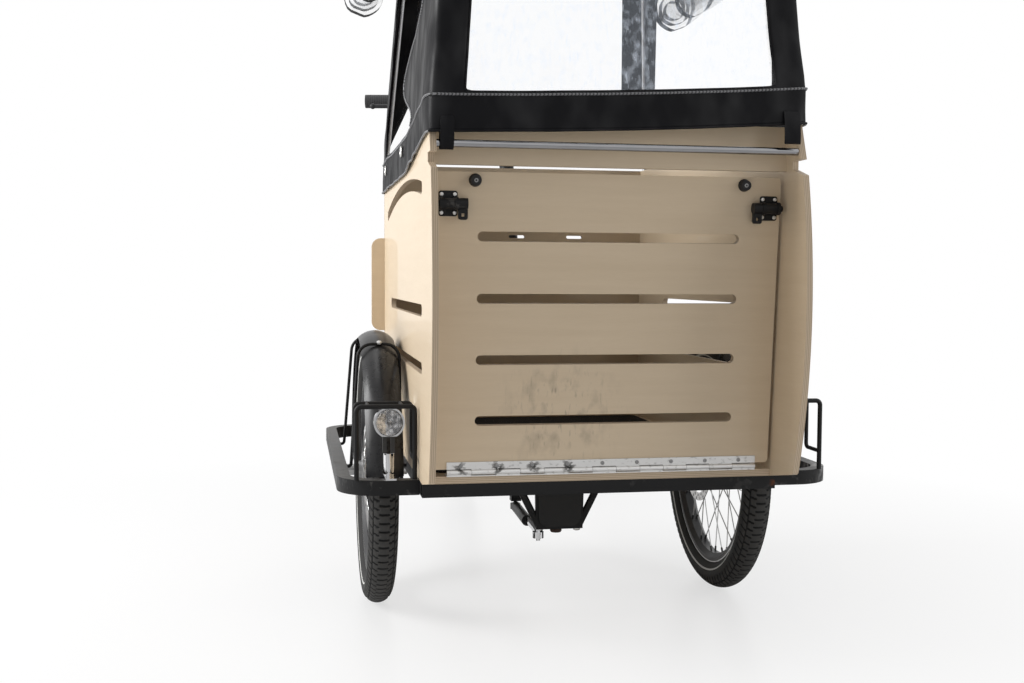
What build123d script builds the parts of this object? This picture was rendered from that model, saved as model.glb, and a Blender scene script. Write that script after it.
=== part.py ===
from build123d import *
import math
import os

# Box cargo trike with electric drive. A plywood box with a rain tent sits on a front carriage
# with two wheels, and the whole carriage turns on a pin under the box. The rear frame behind it
# carries the saddle, the cranks, the battery and one driven wheel.
# Frame: +Z up from the ground, -Y to the front, +X to the rider's left. Lengths are in mm.

os.makedirs("parts", exist_ok=True)

SIDES = (("left", 1), ("right", -1))
ON_BASE = (Align.CENTER, Align.CENTER, Align.MIN)

# Wheels and their places
FRONT_WHEEL_R = 256
FRONT_TYRE_W = 54
FRONT_BEAD_R = 205
FRONT_TRACK = 698
FRONT_AXLE_Y = -512
REAR_WHEEL_R = 300
REAR_TYRE_W = 50
REAR_BEAD_R = 253
REAR_AXLE_Y = 757
BEAD_GAP = 0.2
RIM_W = 32
RIM_DEPTH = 18
SPOKE_R = 1.1
SPOKES_PER_RING = 9
SPOKE_SEAT = 3
SPOKE_TURN = 50
SPOKE_TIP_X = 4
AXLE_R = 7.5
RUN_GAP = 0.1

# Front hubs and disc brakes
HUB_R = 17
HUB_HALF = 36
FLANGE_R = 30
FLANGE_T = 3
FLANGE_OFFSET = 25
HUB_WAIST_R = 13
ROTOR_R = 80
ROTOR_T = 2
ROTOR_RING = 16
ROTOR_ARMS = 6
ROTOR_ARM_W = 9
ROTOR_CLEARANCE = 5
CALIPER_ANGLE = 45
CALIPER_LENGTH = 52
CALIPER_WALL = 13
CALIPER_PAD = 4
NUT_R = 12
NUT_T = 9
SHOULDER_R = 11
END_PLAY = 1

# Platform under the box
WHEEL_TO_BOX = 47
PLATFORM_FRONT_Y = -938
PLATFORM_TOP_Z = 297
PLATFORM_TUBE = 22
TUBE_WALL = 2
TUBE_END_DEPTH = 15
LUG_T = 6
LUG_HALF = 24
LUG_DROP = 20

# Hoops round the front wheels
WHEEL_TO_HOOP = 86
HOOP_W = 22
HOOP_H = 25
HOOP_FRONT_Y = -887
HOOP_BEND_R = 62
HOOP_BASE_Z = 273

# Plywood box
PLY = 10
BOX_BACK_Y = -143
BACK_T = 12
FLOOR_T = 12
MAT_T = 3
MAT_MARGIN = 15
PANEL_TOP_Z = 880
PANEL_TIP_Y = -1033
PANEL_TIP_Z = 314
PANEL_TIP_R = 11
PANEL_BULGE_Y = -1075
PANEL_BULGE_Z = 553
PANEL_BROW_Y = -1053
PANEL_BROW_DROP = 83
PANEL_NOTCH_Y = -1012
PANEL_NOTCH_DROP = 57
PANEL_HORN_Y = -1044
PANEL_CREST_Y = -1023
SIDE_SLOT_FRONT_Y = -929
SIDE_SLOTS = (
    {"z": 578, "end_y": -328, "height": 20},
    {"z": 484, "end_y": -228, "height": 19},
)
ARCH_SLOT_H = 21
ARCH_SLOT = (
    {"y": -918, "drop": 104},
    {"y": -660, "drop": 85},
    {"y": -245, "drop": 118},
)
BACK_EAR_REACH = 29
BACK_EAR_DROP = 162
BACK_EAR_H = 207
BACK_EAR_R = 20
BELT_SLOT_DROP = 155
BELT_SLOTS_X = (-135, 0, 135)
BELT_SLOT_L = 38
BELT_SLOT_H = 7

# Ramp door, leaning forward as it goes up
DOOR_SIDE_GAP = 6
DOOR_LEAN = 4.6
DOOR_T = 12
RAIL_H = 72
DOOR_CORNER_R = 6
HINGE_Z = 316
HINGE_R = 4
HINGE_PIN_R = 1.6
HINGE_END_GAP = 23
HINGE_DOOR_GAP = 1
HINGE_KNUCKLES = 13
HINGE_KNUCKLE_GAP = 0.6
HINGE_LEAF_T = 1.6
HINGE_LEAF_H = 12
DOOR_SLOT_LENGTH = 436
DOOR_SLOT_H = 16
DOOR_SLOTS = 4
DOOR_SLOT_DROP = 101
DOOR_SLOT_PITCH = 99
BUMPER_INSET = 63
BUMPER_DROP = 13
BUMPER_R = 10.5
BUMPER_H = 11
BUMPER_TAPER = 12
LATCH_W = 30
LATCH_H = 40
LATCH_DROP = 50
LATCH_EDGE_GAP = 5
LATCH_CORNER_R = 4
LATCH_BODY_R = 9
LATCH_COLLAR = 1.5
LATCH_COLLAR_W = 5
LATCH_GRIP_W = 15
LATCH_GRIP_T = 6
LATCH_GRIP_DROP = 25
LATCH_GRIP_HOLE = 5
BOLT_R = 5
RAIL_GAP = 10
RAIL_FRONT_Y = -988
ROD_R = 6
ROD_Y = -1031
ROD_DROP = 44

# Rain tent
SKIRT_LAP = 30
SKIRT_RISE = 25
TENT_H = 500
TENT_NARROWING = 32.5
TENT_FRONT_Y = -1040
TENT_FRONT_TOP_Y = -998
TENT_REAR_TOP_Y = -243
TENT_CORNER_R = 90
TENT_EDGE_R = 24
TENT_T = 3
TENT_GAP = 0.5
TENT_STRIP_W = 57
TENT_SEAM = 12
SIDE_GUSSET = 190
WINDOW_TOP_MARGIN = 95
TENT_POLE_R = 5
TENT_POLE_BENDS = (60, 80, 80, 60)
TENT_POLE_INSET = 12
WINDOW_ROLL_R = 50

# Lamps and their cages on the hoops
GUARD_ROD_R = 4
GUARD_THIN_R = 3.5
GUARD_LINK_R = 3
GUARD_SIDE_GAP = 7
GUARD_END_GAP = 19
GUARD_TOP_Z = 419
GUARD_SHELF_Z = 330
GUARD_DEPTH = 55
LAMP_Z = 389
LAMP_R = 26
LAMP_SETBACK = 25
LAMP_LENGTH = 44
LENS_T = 5
LENS_EDGE_R = 4
LENS_GAP = 0.3
LAMP_RIM = 3
LAMP_POST_R = 9
LAMP_POST_H = 38
LAMP_FORK_W = 20
LAMP_FORK_GAP = 7
LAMP_FORK_T = 8

# Front mudguards
GUARD_GAP = 14
MUDGUARD_T = 2
MUDGUARD_W = 66
MUDGUARD_CROWN = 13
MUDGUARD_START = 6
MUDGUARD_SWEEP = 168
STAY_R = 3
STAY_ANGLES = (66, 114)
STAY_BOX_GAP = 10
STAY_REACH = 38
STAY_ARCH_R = 26
STAY_FOOT_REACH = 150

# Steering pivot under the platform
PIVOT_Y = -563
PIVOT_PIN_R = 12
BRACKET_HALF_W = 49
BRACKET_TAPER = 3
BRACKET_FRONT_Y = -609
BRACKET_BASE_Z = 146
BRACKET_T = 8
BRACKET_REAR = 40
SHIELD_INSET = 5
SHIELD_T = 3
SHIELD_CORNER_R = 20
SLEEVE_R = 22
SLEEVE_GAP = 2
STRUT_R = 7
STRUT_SPREAD = 64
PIN_HEAD_T = 4
PIN_HEAD_R = 19

# Steering damper
DAMPER_Z = 134
DAMPER_STUD_X = -40
DAMPER_STUD_Y = -598
DAMPER_PIN_X = -30
DAMPER_PIN_Y = -303
DAMPER_R = 11
DAMPER_ROD_R = 4
DAMPER_EYE_R = 11
DAMPER_EYE_H = 12
DAMPER_PIN_R = 4
DAMPER_BODY = 150
DAMPER_STROKE_ROOM = 50
STUD_GAP = 0.5

# Handlebar on the back of the box
BAR_R = 11
BAR_Z = 1055
BAR_Y = 50
BAR_HALF_W = 330
BAR_REACH = 45
BAR_MIDDLE = 110
GRIP_R = 16
GRIP_LENGTH = 118
POST_R = 17
POST_FOOT_Z = 420
POST_BEND_Z = 650
POST_STANDOFF = 30
POST_BEND_R = 130
POST_CLAMP_H = 40
POST_CLAMP_WALL = 6
POST_FOOT_W = 70
POST_FOOT_T = 5
LEVER_R = 5
LEVER_GAP = 4
LEVER_CLAMP_W = 22
LEVER_REACH = 34
LEVER_BALL_R = 7

# Rear frame
MAIN_TUBE_R = 24
MAIN_TUBE_Z = 207
MAIN_TUBE_KNEE_Y = 60
MAIN_TUBE_BEND_R = 220
BB_Y = 342
BB_Z = 300
BB_R = 22
BB_HALF = 36
SEAT_ANGLE = 70
SEAT_TUBE_R = 18
SEAT_TUBE_L = 400
SEAT_POST_R = 13.6
SEAT_POST_L = 300
SEAT_POST_SINK = 90
SEAT_GAP = 0.1
SEAT_COLLAR_R = 22
SEAT_COLLAR_H = 10
SEAT_CLAMP_R = 14
SEAT_CLAMP_W = 48
BRACE_R = 15
STAY_TUBE_R = 9
SEAT_STAY_R = 7
SEAT_STAY_X = 46
DROPOUT_X = 67
DROPOUT_T = 7
DROPOUT_R = 24
REAR_AXLE_R = 6
MOTOR_R = 68
MOTOR_LEFT_X = 58
MOTOR_RIGHT_X = -44
MOTOR_SHOULDER = 12
MOTOR_FLANGE_X = 28
MOTOR_FLANGE_H = 8
MOTOR_FLANGE_LIP = 2
MOTOR_SPOKE_TURN = 28

# Drive
CHAIN_X = -54
CHAIN_W = 8
CHAIN_H = 8
RING_R = 74
SPROCKET_R = 37
COG_T = 4
CHAIN_GAP = 0.4
CHAIN_GROOVE_W = 5.4
CHAIN_GROOVE_H = 5
TOOTH_H = 4
TOOTH_ROOT_W = 6
TOOTH_TIP_W = 2
TOOTH_SINK = 1
RING_TEETH = 38
SPROCKET_TEETH = 20
SPINDLE_R = 9
CRANK_L = 165
CRANK_X = 86
CRANK_T = 12
CRANK_ROOT_R = 17
CRANK_TIP_R = 11
CRANK_ANGLE = 35
RING_HOLES = 5
RING_HOLE_R = 15
RING_HOLE_CIRCLE_R = 43
PEDAL_LENGTH = 96
PEDAL_W = 62
PEDAL_H = 20
PEDAL_PIN_R = 6
PEDAL_GAP = 5
PEDAL_WALL = 6
PEDAL_RIBS = 2
CHAIN_GUARD_T = 3
CHAIN_GUARD_END_Y = 590

# Rear rack, battery, mudguard and lamp
RACK_Z = 652
RACK_HALF_W = 62
RACK_FRONT_Y = 520
RACK_REAR_Y = 920
RACK_ROD_R = 5
RACK_LEG_R = 4
DECK_T = 4
BATTERY_L = 350
BATTERY_W = 112
BATTERY_H = 74
BATTERY_GAP = 8
BATTERY_EDGE_R = 14
BATTERY_TOP_R = 9
DECK_HOLE_R = 3.3
DECK_HOLES_X = 80
DECK_HOLES_Y = 240
RACK_FOOT_Y = 10
REAR_GUARD_GAP = 16
REAR_GUARD_START = 30
REAR_GUARD_SWEEP = 162
REAR_STAY_ANGLES = (135, 175)
REAR_LAMP_W = 90
REAR_LAMP_H = 44
REAR_LAMP_T = 22
REAR_LAMP_EDGE_R = 8

# Saddle
SADDLE_L = 268
SADDLE_W = 190
SADDLE_T = 62
SADDLE_NOSE_R = 24
SADDLE_EDGE_R = 16

FRONT_X = FRONT_TRACK / 2
FRONT_Z = FRONT_WHEEL_R
REAR_Z = REAR_WHEEL_R
PLATFORM_HALF_W = FRONT_X - WHEEL_TO_BOX
PLATFORM_BASE_Z = PLATFORM_TOP_Z - PLATFORM_TUBE
PANEL_INNER = PLATFORM_HALF_W - PLY
PLATFORM_REAR_Y = BOX_BACK_Y + BACK_T
FLOOR_TOP_Z = PLATFORM_TOP_Z + FLOOR_T
HOOP_HALF_W = FRONT_X + WHEEL_TO_HOOP
HOOP_X = HOOP_HALF_W - HOOP_W / 2
HOOP_TOP_Z = HOOP_BASE_Z + HOOP_H
HOOP_REAR_Y = PLATFORM_REAR_Y - PLATFORM_TUBE / 2
PANEL_BROW_Z = PANEL_TOP_Z - PANEL_BROW_DROP
PANEL_NOTCH_Z = PANEL_TOP_Z - PANEL_NOTCH_DROP
BACK_EAR_HALF_W = PLATFORM_HALF_W + BACK_EAR_REACH
BELT_SLOT_Z = PANEL_TOP_Z - BELT_SLOT_DROP
DOOR_HALF_W = PANEL_INNER - DOOR_SIDE_GAP
DOOR_TOP_Z = PANEL_TOP_Z - RAIL_H - RAIL_GAP
HINGE_LENGTH = 2 * (DOOR_HALF_W - HINGE_END_GAP)
BUMPER_X = DOOR_HALF_W - BUMPER_INSET
BUMPER_Z = DOOR_TOP_Z - BUMPER_DROP
LATCH_Z = DOOR_TOP_Z - LATCH_DROP
ROD_Z = PANEL_TOP_Z - ROD_DROP
LAMP_X = FRONT_X
LAMP_FRONT_Y = HOOP_FRONT_Y + LAMP_SETBACK
GUARD_INNER_X = PLATFORM_HALF_W + GUARD_SIDE_GAP
GUARD_OUTER_X = HOOP_X - GUARD_END_GAP
STAY_INNER_X = PLATFORM_HALF_W + STAY_BOX_GAP
STAY_OUTER_X = FRONT_X + STAY_REACH
HOOP_INNER_X = HOOP_HALF_W - HOOP_W
TENT_BASE_Z = PANEL_TOP_Z - SKIRT_LAP
SKIRT_TOP_Z = PANEL_TOP_Z + SKIRT_RISE
TENT_TOP_Z = PANEL_TOP_Z + TENT_H
TENT_HALF_W = PLATFORM_HALF_W + TENT_GAP + TENT_T
TENT_TOP_HALF_W = TENT_HALF_W - TENT_NARROWING
TENT_REAR_Y = PLATFORM_REAR_Y + TENT_GAP + TENT_T


def save(part, label):
    part.label = label
    export_step(part, f"parts/{label}.step")


def rod(points, radius, bend=None):
    """A round bar along straight runs, with one bend radius at each corner."""
    with BuildPart() as bar:
        with BuildLine() as path:
            if bend is None:
                Polyline(*points)
            else:
                FilletPolyline(*points, radius=bend)
        with BuildSketch(Plane(origin=path.line @ 0, z_dir=path.line % 0)) as section:
            Circle(radius)
        sweep(sections=section.sketch, path=path.line)
    return bar.part


def turned(outline, centre):
    """A piece turned about the wheel axis through centre, from (along the axle, radius) points."""
    with BuildPart() as piece:
        with BuildSketch(Plane(origin=centre)):
            with BuildLine():
                Polyline(*outline, close=True)
            make_face()
        revolve(axis=Axis(centre, (1, 0, 0)))
    return piece.part


def tyre(centre, radius, width, bead_r):
    """Round tyre section, cut flat where it sits on the rim."""
    with BuildPart() as piece:
        with BuildSketch(Plane(origin=centre)):
            with Locations((0, radius - width / 2)):
                Circle(width / 2)
            with Locations((0, bead_r + BEAD_GAP - width)):
                Rectangle(2 * width, 2 * width, mode=Mode.SUBTRACT)
        revolve(axis=Axis(centre, (1, 0, 0)))
    return piece.part


def rim(centre, bead_r):
    """Box rim, narrower toward the hub where the spokes enter."""
    half, foot = RIM_W / 2, RIM_W / 4
    inner, shoulder = bead_r - RIM_DEPTH, bead_r - RIM_DEPTH / 2
    right = ((-foot, inner), (-half, shoulder), (-half, bead_r))
    left = ((half, bead_r), (half, shoulder), (foot, inner))
    return turned(right + left, centre)


def spoke_ring(centre, x_flange, flange_r, rim_r, turn):
    """One ring of spokes from a hub flange to the rim, leading or trailing by the angle turn."""
    lean = math.radians(turn)
    foot = Vector(flange_r, 0, x_flange)
    tip = Vector(rim_r * math.cos(lean), rim_r * math.sin(lean), math.copysign(SPOKE_TIP_X, x_flange))
    with BuildPart() as ring:
        with BuildSketch(Plane(origin=foot, z_dir=tip - foot)) as section:
            RegularPolygon(SPOKE_R, 6)
        spoke = extrude(amount=(tip - foot).length, mode=Mode.PRIVATE)
        with PolarLocations(0, SPOKES_PER_RING):
            add(spoke)
    wheel_plane = Plane(origin=centre, x_dir=(0, 1, 0), z_dir=(1, 0, 0))
    return [solid.moved(wheel_plane.location) for solid in ring.part.solids()]


def teeth(x, y, z, radius, count):
    """A ring of sprocket teeth round a disc, in the chain's plane."""
    root, tip, reach = TOOTH_ROOT_W / 2, TOOTH_TIP_W / 2, TOOTH_SINK + TOOTH_H
    with BuildSketch() as tooth:
        with BuildLine():
            Polyline((0, -root), (reach, -tip), (reach, tip), (0, root), close=True)
        make_face()
    with BuildPart() as ring:
        with BuildSketch(Plane.YZ.offset(x - COG_T / 2)):
            with Locations((y, z)):
                with PolarLocations(radius - TOOTH_SINK, count):
                    add(tooth.sketch)
        extrude(amount=COG_T)
    return ring.part


def mudguard(centre, radius, width, start, sweep_angle):
    """Crowned strip of sheet round the top of a wheel, from start degrees above the front."""
    with BuildPart() as piece:
        with BuildSketch(Plane(origin=centre).rotated((-start, 0, 0))):
            with BuildLine():
                half, lip = width / 2, -radius + MUDGUARD_CROWN
                outer = ThreePointArc((-half, lip), (0, -radius - MUDGUARD_T), (half, lip))
                inner = ThreePointArc((half - MUDGUARD_T, lip), (0, -radius), (MUDGUARD_T - half, lip))
                Line(outer @ 1, inner @ 0)
                Line(inner @ 1, outer @ 0)
            make_face()
        revolve(axis=Axis(centre, (-1, 0, 0)), revolution_arc=sweep_angle)
    return piece.part


def bent_bar(points, width, height, bend):
    """A bar of rectangular section bent flat, width across the path and height upright."""
    with BuildPart() as bar:
        with BuildLine() as path:
            FilletPolyline(*points, radius=bend)
        with BuildSketch(Plane(origin=path.line @ 0, x_dir=(0, 0, 1), z_dir=path.line % 0)) as section:
            Rectangle(height, width)
        sweep(sections=section.sketch, path=path.line)
    return bar.part


# Front wheels: tyre, rim, laced hub and brake disc, one set a side
ROTOR_X = FRONT_X - HUB_HALF - ROTOR_T
for side, sign in SIDES:
    centre = (sign * FRONT_X, FRONT_AXLE_Y, FRONT_Z)
    save(tyre(centre, FRONT_WHEEL_R, FRONT_TYRE_W, FRONT_BEAD_R), f"front_tyre_{side}")
    save(rim(centre, FRONT_BEAD_R), f"front_rim_{side}")

    bore = AXLE_R + RUN_GAP
    low, high = FLANGE_OFFSET - FLANGE_T, FLANGE_OFFSET
    right_half = (
        (-HUB_HALF, bore),
        (-HUB_HALF, HUB_R),
        (-high, HUB_R),
        (-high, FLANGE_R),
        (-low, FLANGE_R),
        (-low, HUB_R),
        (-low / 2, HUB_WAIST_R),
    )
    left_half = tuple((-x, r) for x, r in reversed(right_half))
    with BuildPart() as front_hub:
        add(turned(right_half + left_half, centre))
        for x in (-FLANGE_OFFSET, -low, low, FLANGE_OFFSET):
            turn = SPOKE_TURN if abs(x) == FLANGE_OFFSET else -SPOKE_TURN
            rim_r = FRONT_BEAD_R - RIM_DEPTH + SPOKE_SEAT
            add(spoke_ring(centre, x, FLANGE_R - FLANGE_T, rim_r, turn))
    save(front_hub.part, f"front_hub_{side}")

    with BuildPart() as rotor:
        with BuildSketch(Plane.YZ.offset(sign * ROTOR_X)):
            with Locations((FRONT_AXLE_Y, FRONT_Z)):
                Circle(ROTOR_R)
                Circle(ROTOR_R - ROTOR_RING, mode=Mode.SUBTRACT)
                with PolarLocations(ROTOR_R / 2, ROTOR_ARMS):
                    Rectangle(ROTOR_R - ROTOR_RING / 2, ROTOR_ARM_W)
                Circle(HUB_R + ROTOR_ARM_W / 2)
                Circle(HUB_R - FLANGE_T, mode=Mode.SUBTRACT)
        extrude(amount=sign * ROTOR_T)
    save(rotor.part, f"brake_disc_{side}")

# Platform: square tubes with a plate on each side that holds the inner end of the stub axle
with BuildPart() as platform:
    middle_z = PLATFORM_TOP_Z - PLATFORM_TUBE / 2
    half_tube = PLATFORM_TUBE / 2
    cross_bars = (
        PLATFORM_FRONT_Y + half_tube,
        BRACKET_FRONT_Y + half_tube,
        PIVOT_Y + BRACKET_REAR - half_tube,
        PLATFORM_REAR_Y - half_tube,
    )
    with Locations(*[(0, y, middle_z) for y in cross_bars]):
        Box(2 * PLATFORM_HALF_W, PLATFORM_TUBE, PLATFORM_TUBE)
    end_x = PLATFORM_HALF_W - TUBE_END_DEPTH / 2
    rail_x = PLATFORM_HALF_W - half_tube
    rail_l = PLATFORM_REAR_Y - PLATFORM_FRONT_Y
    rail_y = (PLATFORM_FRONT_Y + PLATFORM_REAR_Y) / 2
    with Locations(*[(sign * rail_x, rail_y, middle_z) for _, sign in SIDES]):
        Box(PLATFORM_TUBE, rail_l, PLATFORM_TUBE)
    bore_w = PLATFORM_TUBE - 2 * TUBE_WALL
    with Locations(*[(sign * end_x, cross_bars[0], middle_z) for _, sign in SIDES]):
        Box(TUBE_END_DEPTH, bore_w, bore_w, mode=Mode.SUBTRACT)
    lug_low = FRONT_Z - LUG_DROP
    lug_x = PLATFORM_HALF_W - LUG_T / 2
    with Locations(*[(sign * lug_x, FRONT_AXLE_Y, (lug_low + PLATFORM_BASE_Z) / 2) for _, sign in SIDES]):
        Box(LUG_T, 2 * LUG_HALF, PLATFORM_BASE_Z - lug_low)
    with Locations(Plane(origin=(0, FRONT_AXLE_Y, FRONT_Z), z_dir=(1, 0, 0))):
        Cylinder(AXLE_R + SEAT_GAP, 2 * PLATFORM_HALF_W, mode=Mode.SUBTRACT)
save(platform.part, "platform_frame")

# Hoops round the front wheels, each with a plate for the outer end of the stub axle
with BuildPart() as hoops:
    middle_z = HOOP_BASE_Z + HOOP_H / 2
    corners = (
        (PLATFORM_HALF_W, HOOP_FRONT_Y),
        (HOOP_X, HOOP_FRONT_Y),
        (HOOP_X, HOOP_REAR_Y),
        (PLATFORM_HALF_W, HOOP_REAR_Y),
    )
    add(bent_bar([(x, y, middle_z) for x, y in corners], HOOP_W, HOOP_H, HOOP_BEND_R))
    with Locations((HOOP_INNER_X + LUG_T / 2, FRONT_AXLE_Y, (lug_low + HOOP_BASE_Z) / 2)):
        Box(LUG_T, 2 * LUG_HALF, HOOP_BASE_Z - lug_low)
    with Locations(Plane(origin=(HOOP_INNER_X, FRONT_AXLE_Y, FRONT_Z), z_dir=(1, 0, 0))):
        Cylinder(AXLE_R + SEAT_GAP, 2 * HOOP_W, mode=Mode.SUBTRACT)
    mirror(about=Plane.YZ)
save(hoops.part, "wheel_hoops")

# Stub axles: shoulders beside the hub, a nut outside each plate
with BuildPart() as axles:
    stations = (
        (PLATFORM_HALF_W - LUG_T - NUT_T, NUT_R),
        (PLATFORM_HALF_W - LUG_T, AXLE_R),
        (PLATFORM_HALF_W, SHOULDER_R),
        (ROTOR_X - ROTOR_CLEARANCE, AXLE_R),
        (FRONT_X + HUB_HALF + END_PLAY, SHOULDER_R),
        (HOOP_INNER_X, AXLE_R),
        (HOOP_INNER_X + LUG_T, NUT_R),
        (HOOP_INNER_X + LUG_T + NUT_T, 0),
    )
    outline = [(stations[0][0], 0)]
    for (x, radius), (end, _) in zip(stations, stations[1:]):
        outline += [(x, radius), (end, radius)]
    outline.append((stations[-1][0], 0))
    add(turned(outline, (0, FRONT_AXLE_Y, FRONT_Z)))
    mirror(about=Plane.YZ)
save(axles.part, "front_axles")

# Brake calipers, bolted to the outside of the platform and open round the disc
with BuildPart() as calipers:
    disc_plane = Plane(origin=(PLATFORM_HALF_W, FRONT_AXLE_Y, FRONT_Z), x_dir=(0, 1, 0), z_dir=(1, 0, 0))
    slot_low, slot_high = ROTOR_X - ROTOR_CLEARANCE, ROTOR_X + ROTOR_T + ROTOR_CLEARANCE
    depth = slot_high + CALIPER_PAD - PLATFORM_HALF_W
    reach = ROTOR_R - ROTOR_RING
    top = ROTOR_R + ROTOR_CLEARANCE + CALIPER_WALL
    with BuildSketch(disc_plane):
        with PolarLocations((reach + top) / 2, 1, start_angle=CALIPER_ANGLE):
            RectangleRounded(top - reach, CALIPER_LENGTH, CALIPER_WALL / 2)
    extrude(amount=depth)
    with BuildSketch(disc_plane.offset(slot_low - PLATFORM_HALF_W)):
        Circle(ROTOR_R + ROTOR_CLEARANCE)
    extrude(amount=slot_high - slot_low, mode=Mode.SUBTRACT)
    mirror(about=Plane.YZ)
save(calipers.part, "brake_calipers")

# Front mudguards and the wire stays that cross over them, from the platform to the hoop
guard_r = FRONT_WHEEL_R + GUARD_GAP
with BuildPart() as mudguards:
    add(mudguard((FRONT_X, FRONT_AXLE_Y, FRONT_Z), guard_r, MUDGUARD_W, MUDGUARD_START, MUDGUARD_SWEEP))
    mirror(about=Plane.YZ)
save(mudguards.part, "front_mudguards")

with BuildPart() as stays:
    stay_r = guard_r + MUDGUARD_T + STAY_R
    foot_z = PLATFORM_TOP_Z - PLATFORM_TUBE / 2
    for angle in STAY_ANGLES:
        across = math.cos(math.radians(angle))
        top_y = FRONT_AXLE_Y - stay_r * across
        top_z = FRONT_Z + stay_r * math.sin(math.radians(angle))
        foot_y = FRONT_AXLE_Y - math.copysign(STAY_FOOT_REACH, across)
        bends = (2 * STAY_R, STAY_ARCH_R, STAY_ARCH_R, 2 * STAY_R)
        add(rod((
            (PLATFORM_HALF_W, foot_y, foot_z),
            (STAY_INNER_X, foot_y, foot_z),
            (STAY_INNER_X, top_y, top_z),
            (STAY_OUTER_X, top_y, top_z),
            (HOOP_INNER_X - STAY_BOX_GAP, foot_y, foot_z),
            (HOOP_INNER_X, foot_y, foot_z),
        ), STAY_R, bends))
    mirror(about=Plane.YZ)
save(stays.part, "mudguard_stays")

# Wire cages on the hoops and the lamps that they guard
with BuildPart() as cages:
    rear_y = HOOP_FRONT_Y + GUARD_DEPTH
    ends = (GUARD_INNER_X, GUARD_OUTER_X)
    front = [(ends[0], HOOP_TOP_Z), (ends[0], GUARD_TOP_Z), (ends[1], GUARD_TOP_Z), (ends[1], HOOP_TOP_Z)]
    add(rod([(x, HOOP_FRONT_Y, z) for x, z in front], GUARD_ROD_R, 2 * GUARD_ROD_R))
    add(rod((
        (ends[0], HOOP_FRONT_Y, GUARD_SHELF_Z),
        (ends[0], rear_y, GUARD_SHELF_Z),
        (ends[0], rear_y, GUARD_TOP_Z),
        (ends[1], rear_y, GUARD_TOP_Z),
        (ends[1], rear_y, GUARD_SHELF_Z),
        (ends[1], HOOP_FRONT_Y, GUARD_SHELF_Z),
    ), GUARD_THIN_R, 2 * GUARD_ROD_R))
    for x in (ends[0] + 5 * GUARD_ROD_R, ends[1] - 5 * GUARD_ROD_R):
        add(rod(((x, HOOP_FRONT_Y, GUARD_TOP_Z), (x, rear_y, GUARD_TOP_Z)), GUARD_LINK_R))
    mirror(about=Plane.YZ)
save(cages.part, "lamp_cages")

lamp_axis = Axis((LAMP_X, LAMP_FRONT_Y, LAMP_Z), (0, 1, 0))
lamp_plane = Plane(origin=(LAMP_X, LAMP_FRONT_Y, LAMP_Z), x_dir=(0, 1, 0), z_dir=(1, 0, 0))
lens_r = LAMP_R - LAMP_RIM
with BuildPart() as lamps:
    with BuildSketch(lamp_plane):
        with BuildLine():
            Polyline((LENS_T, 0), (LENS_T, lens_r), (0, lens_r), (0, LAMP_R), (LAMP_LENGTH / 3, LAMP_R))
            CenterArc((LAMP_LENGTH / 3, 0), LAMP_R, 0, 90)
            Line((LAMP_LENGTH / 3 + LAMP_R, 0), (LENS_T, 0))
        make_face()
    revolve(axis=lamp_axis)
    post_y = LAMP_FRONT_Y + LAMP_LENGTH / 3
    fork_z = HOOP_TOP_Z + LAMP_POST_H
    with Locations((LAMP_X, post_y, HOOP_TOP_Z)):
        Cylinder(LAMP_POST_R, LAMP_POST_H, align=ON_BASE)
    leg_w = (LAMP_FORK_W - LAMP_FORK_GAP) / 2
    leg_x = (LAMP_FORK_GAP + leg_w) / 2
    with Locations((LAMP_X - leg_x, post_y, fork_z), (LAMP_X + leg_x, post_y, fork_z)):
        Box(leg_w, LAMP_FORK_T, LAMP_Z - LAMP_R / 2 - fork_z, align=ON_BASE)
    foot_l = post_y + LAMP_POST_R - (HOOP_FRONT_Y - HOOP_W / 2)
    with Locations((LAMP_X, HOOP_FRONT_Y - HOOP_W / 2 + foot_l / 2, HOOP_TOP_Z)):
        Box(2 * LAMP_POST_R, foot_l, LUG_T / 2, align=ON_BASE)
    mirror(about=Plane.YZ)
save(lamps.part, "head_lamps")

with BuildPart() as lenses:
    with BuildSketch(Plane(origin=(LAMP_X, LAMP_FRONT_Y + LENS_T, LAMP_Z), z_dir=(0, -1, 0))):
        Circle(lens_r - LENS_GAP)
    extrude(amount=2 * LENS_T)
    fillet(edges().sort_by(Axis.Y)[0], LENS_EDGE_R)
    mirror(about=Plane.YZ)
save(lenses.part, "head_lamp_lenses")

# Plywood floor with a rubber mat
with BuildPart() as floor:
    floor_l = BOX_BACK_Y - PLATFORM_FRONT_Y
    with Locations((0, PLATFORM_FRONT_Y + floor_l / 2, PLATFORM_TOP_Z)):
        Box(2 * PANEL_INNER, floor_l, FLOOR_T, align=ON_BASE)
save(floor.part, "floor_board")

with BuildPart() as mat:
    mat_front = PLATFORM_FRONT_Y + 2 * DOOR_T + MAT_MARGIN
    mat_l = BOX_BACK_Y - MAT_MARGIN - mat_front
    with BuildSketch(Plane.XY.offset(FLOOR_TOP_Z)):
        with Locations((0, mat_front + mat_l / 2)):
            RectangleRounded(2 * (PANEL_INNER - MAT_MARGIN), mat_l, MAT_MARGIN)
    extrude(amount=MAT_T)
save(mat.part, "floor_mat")

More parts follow.
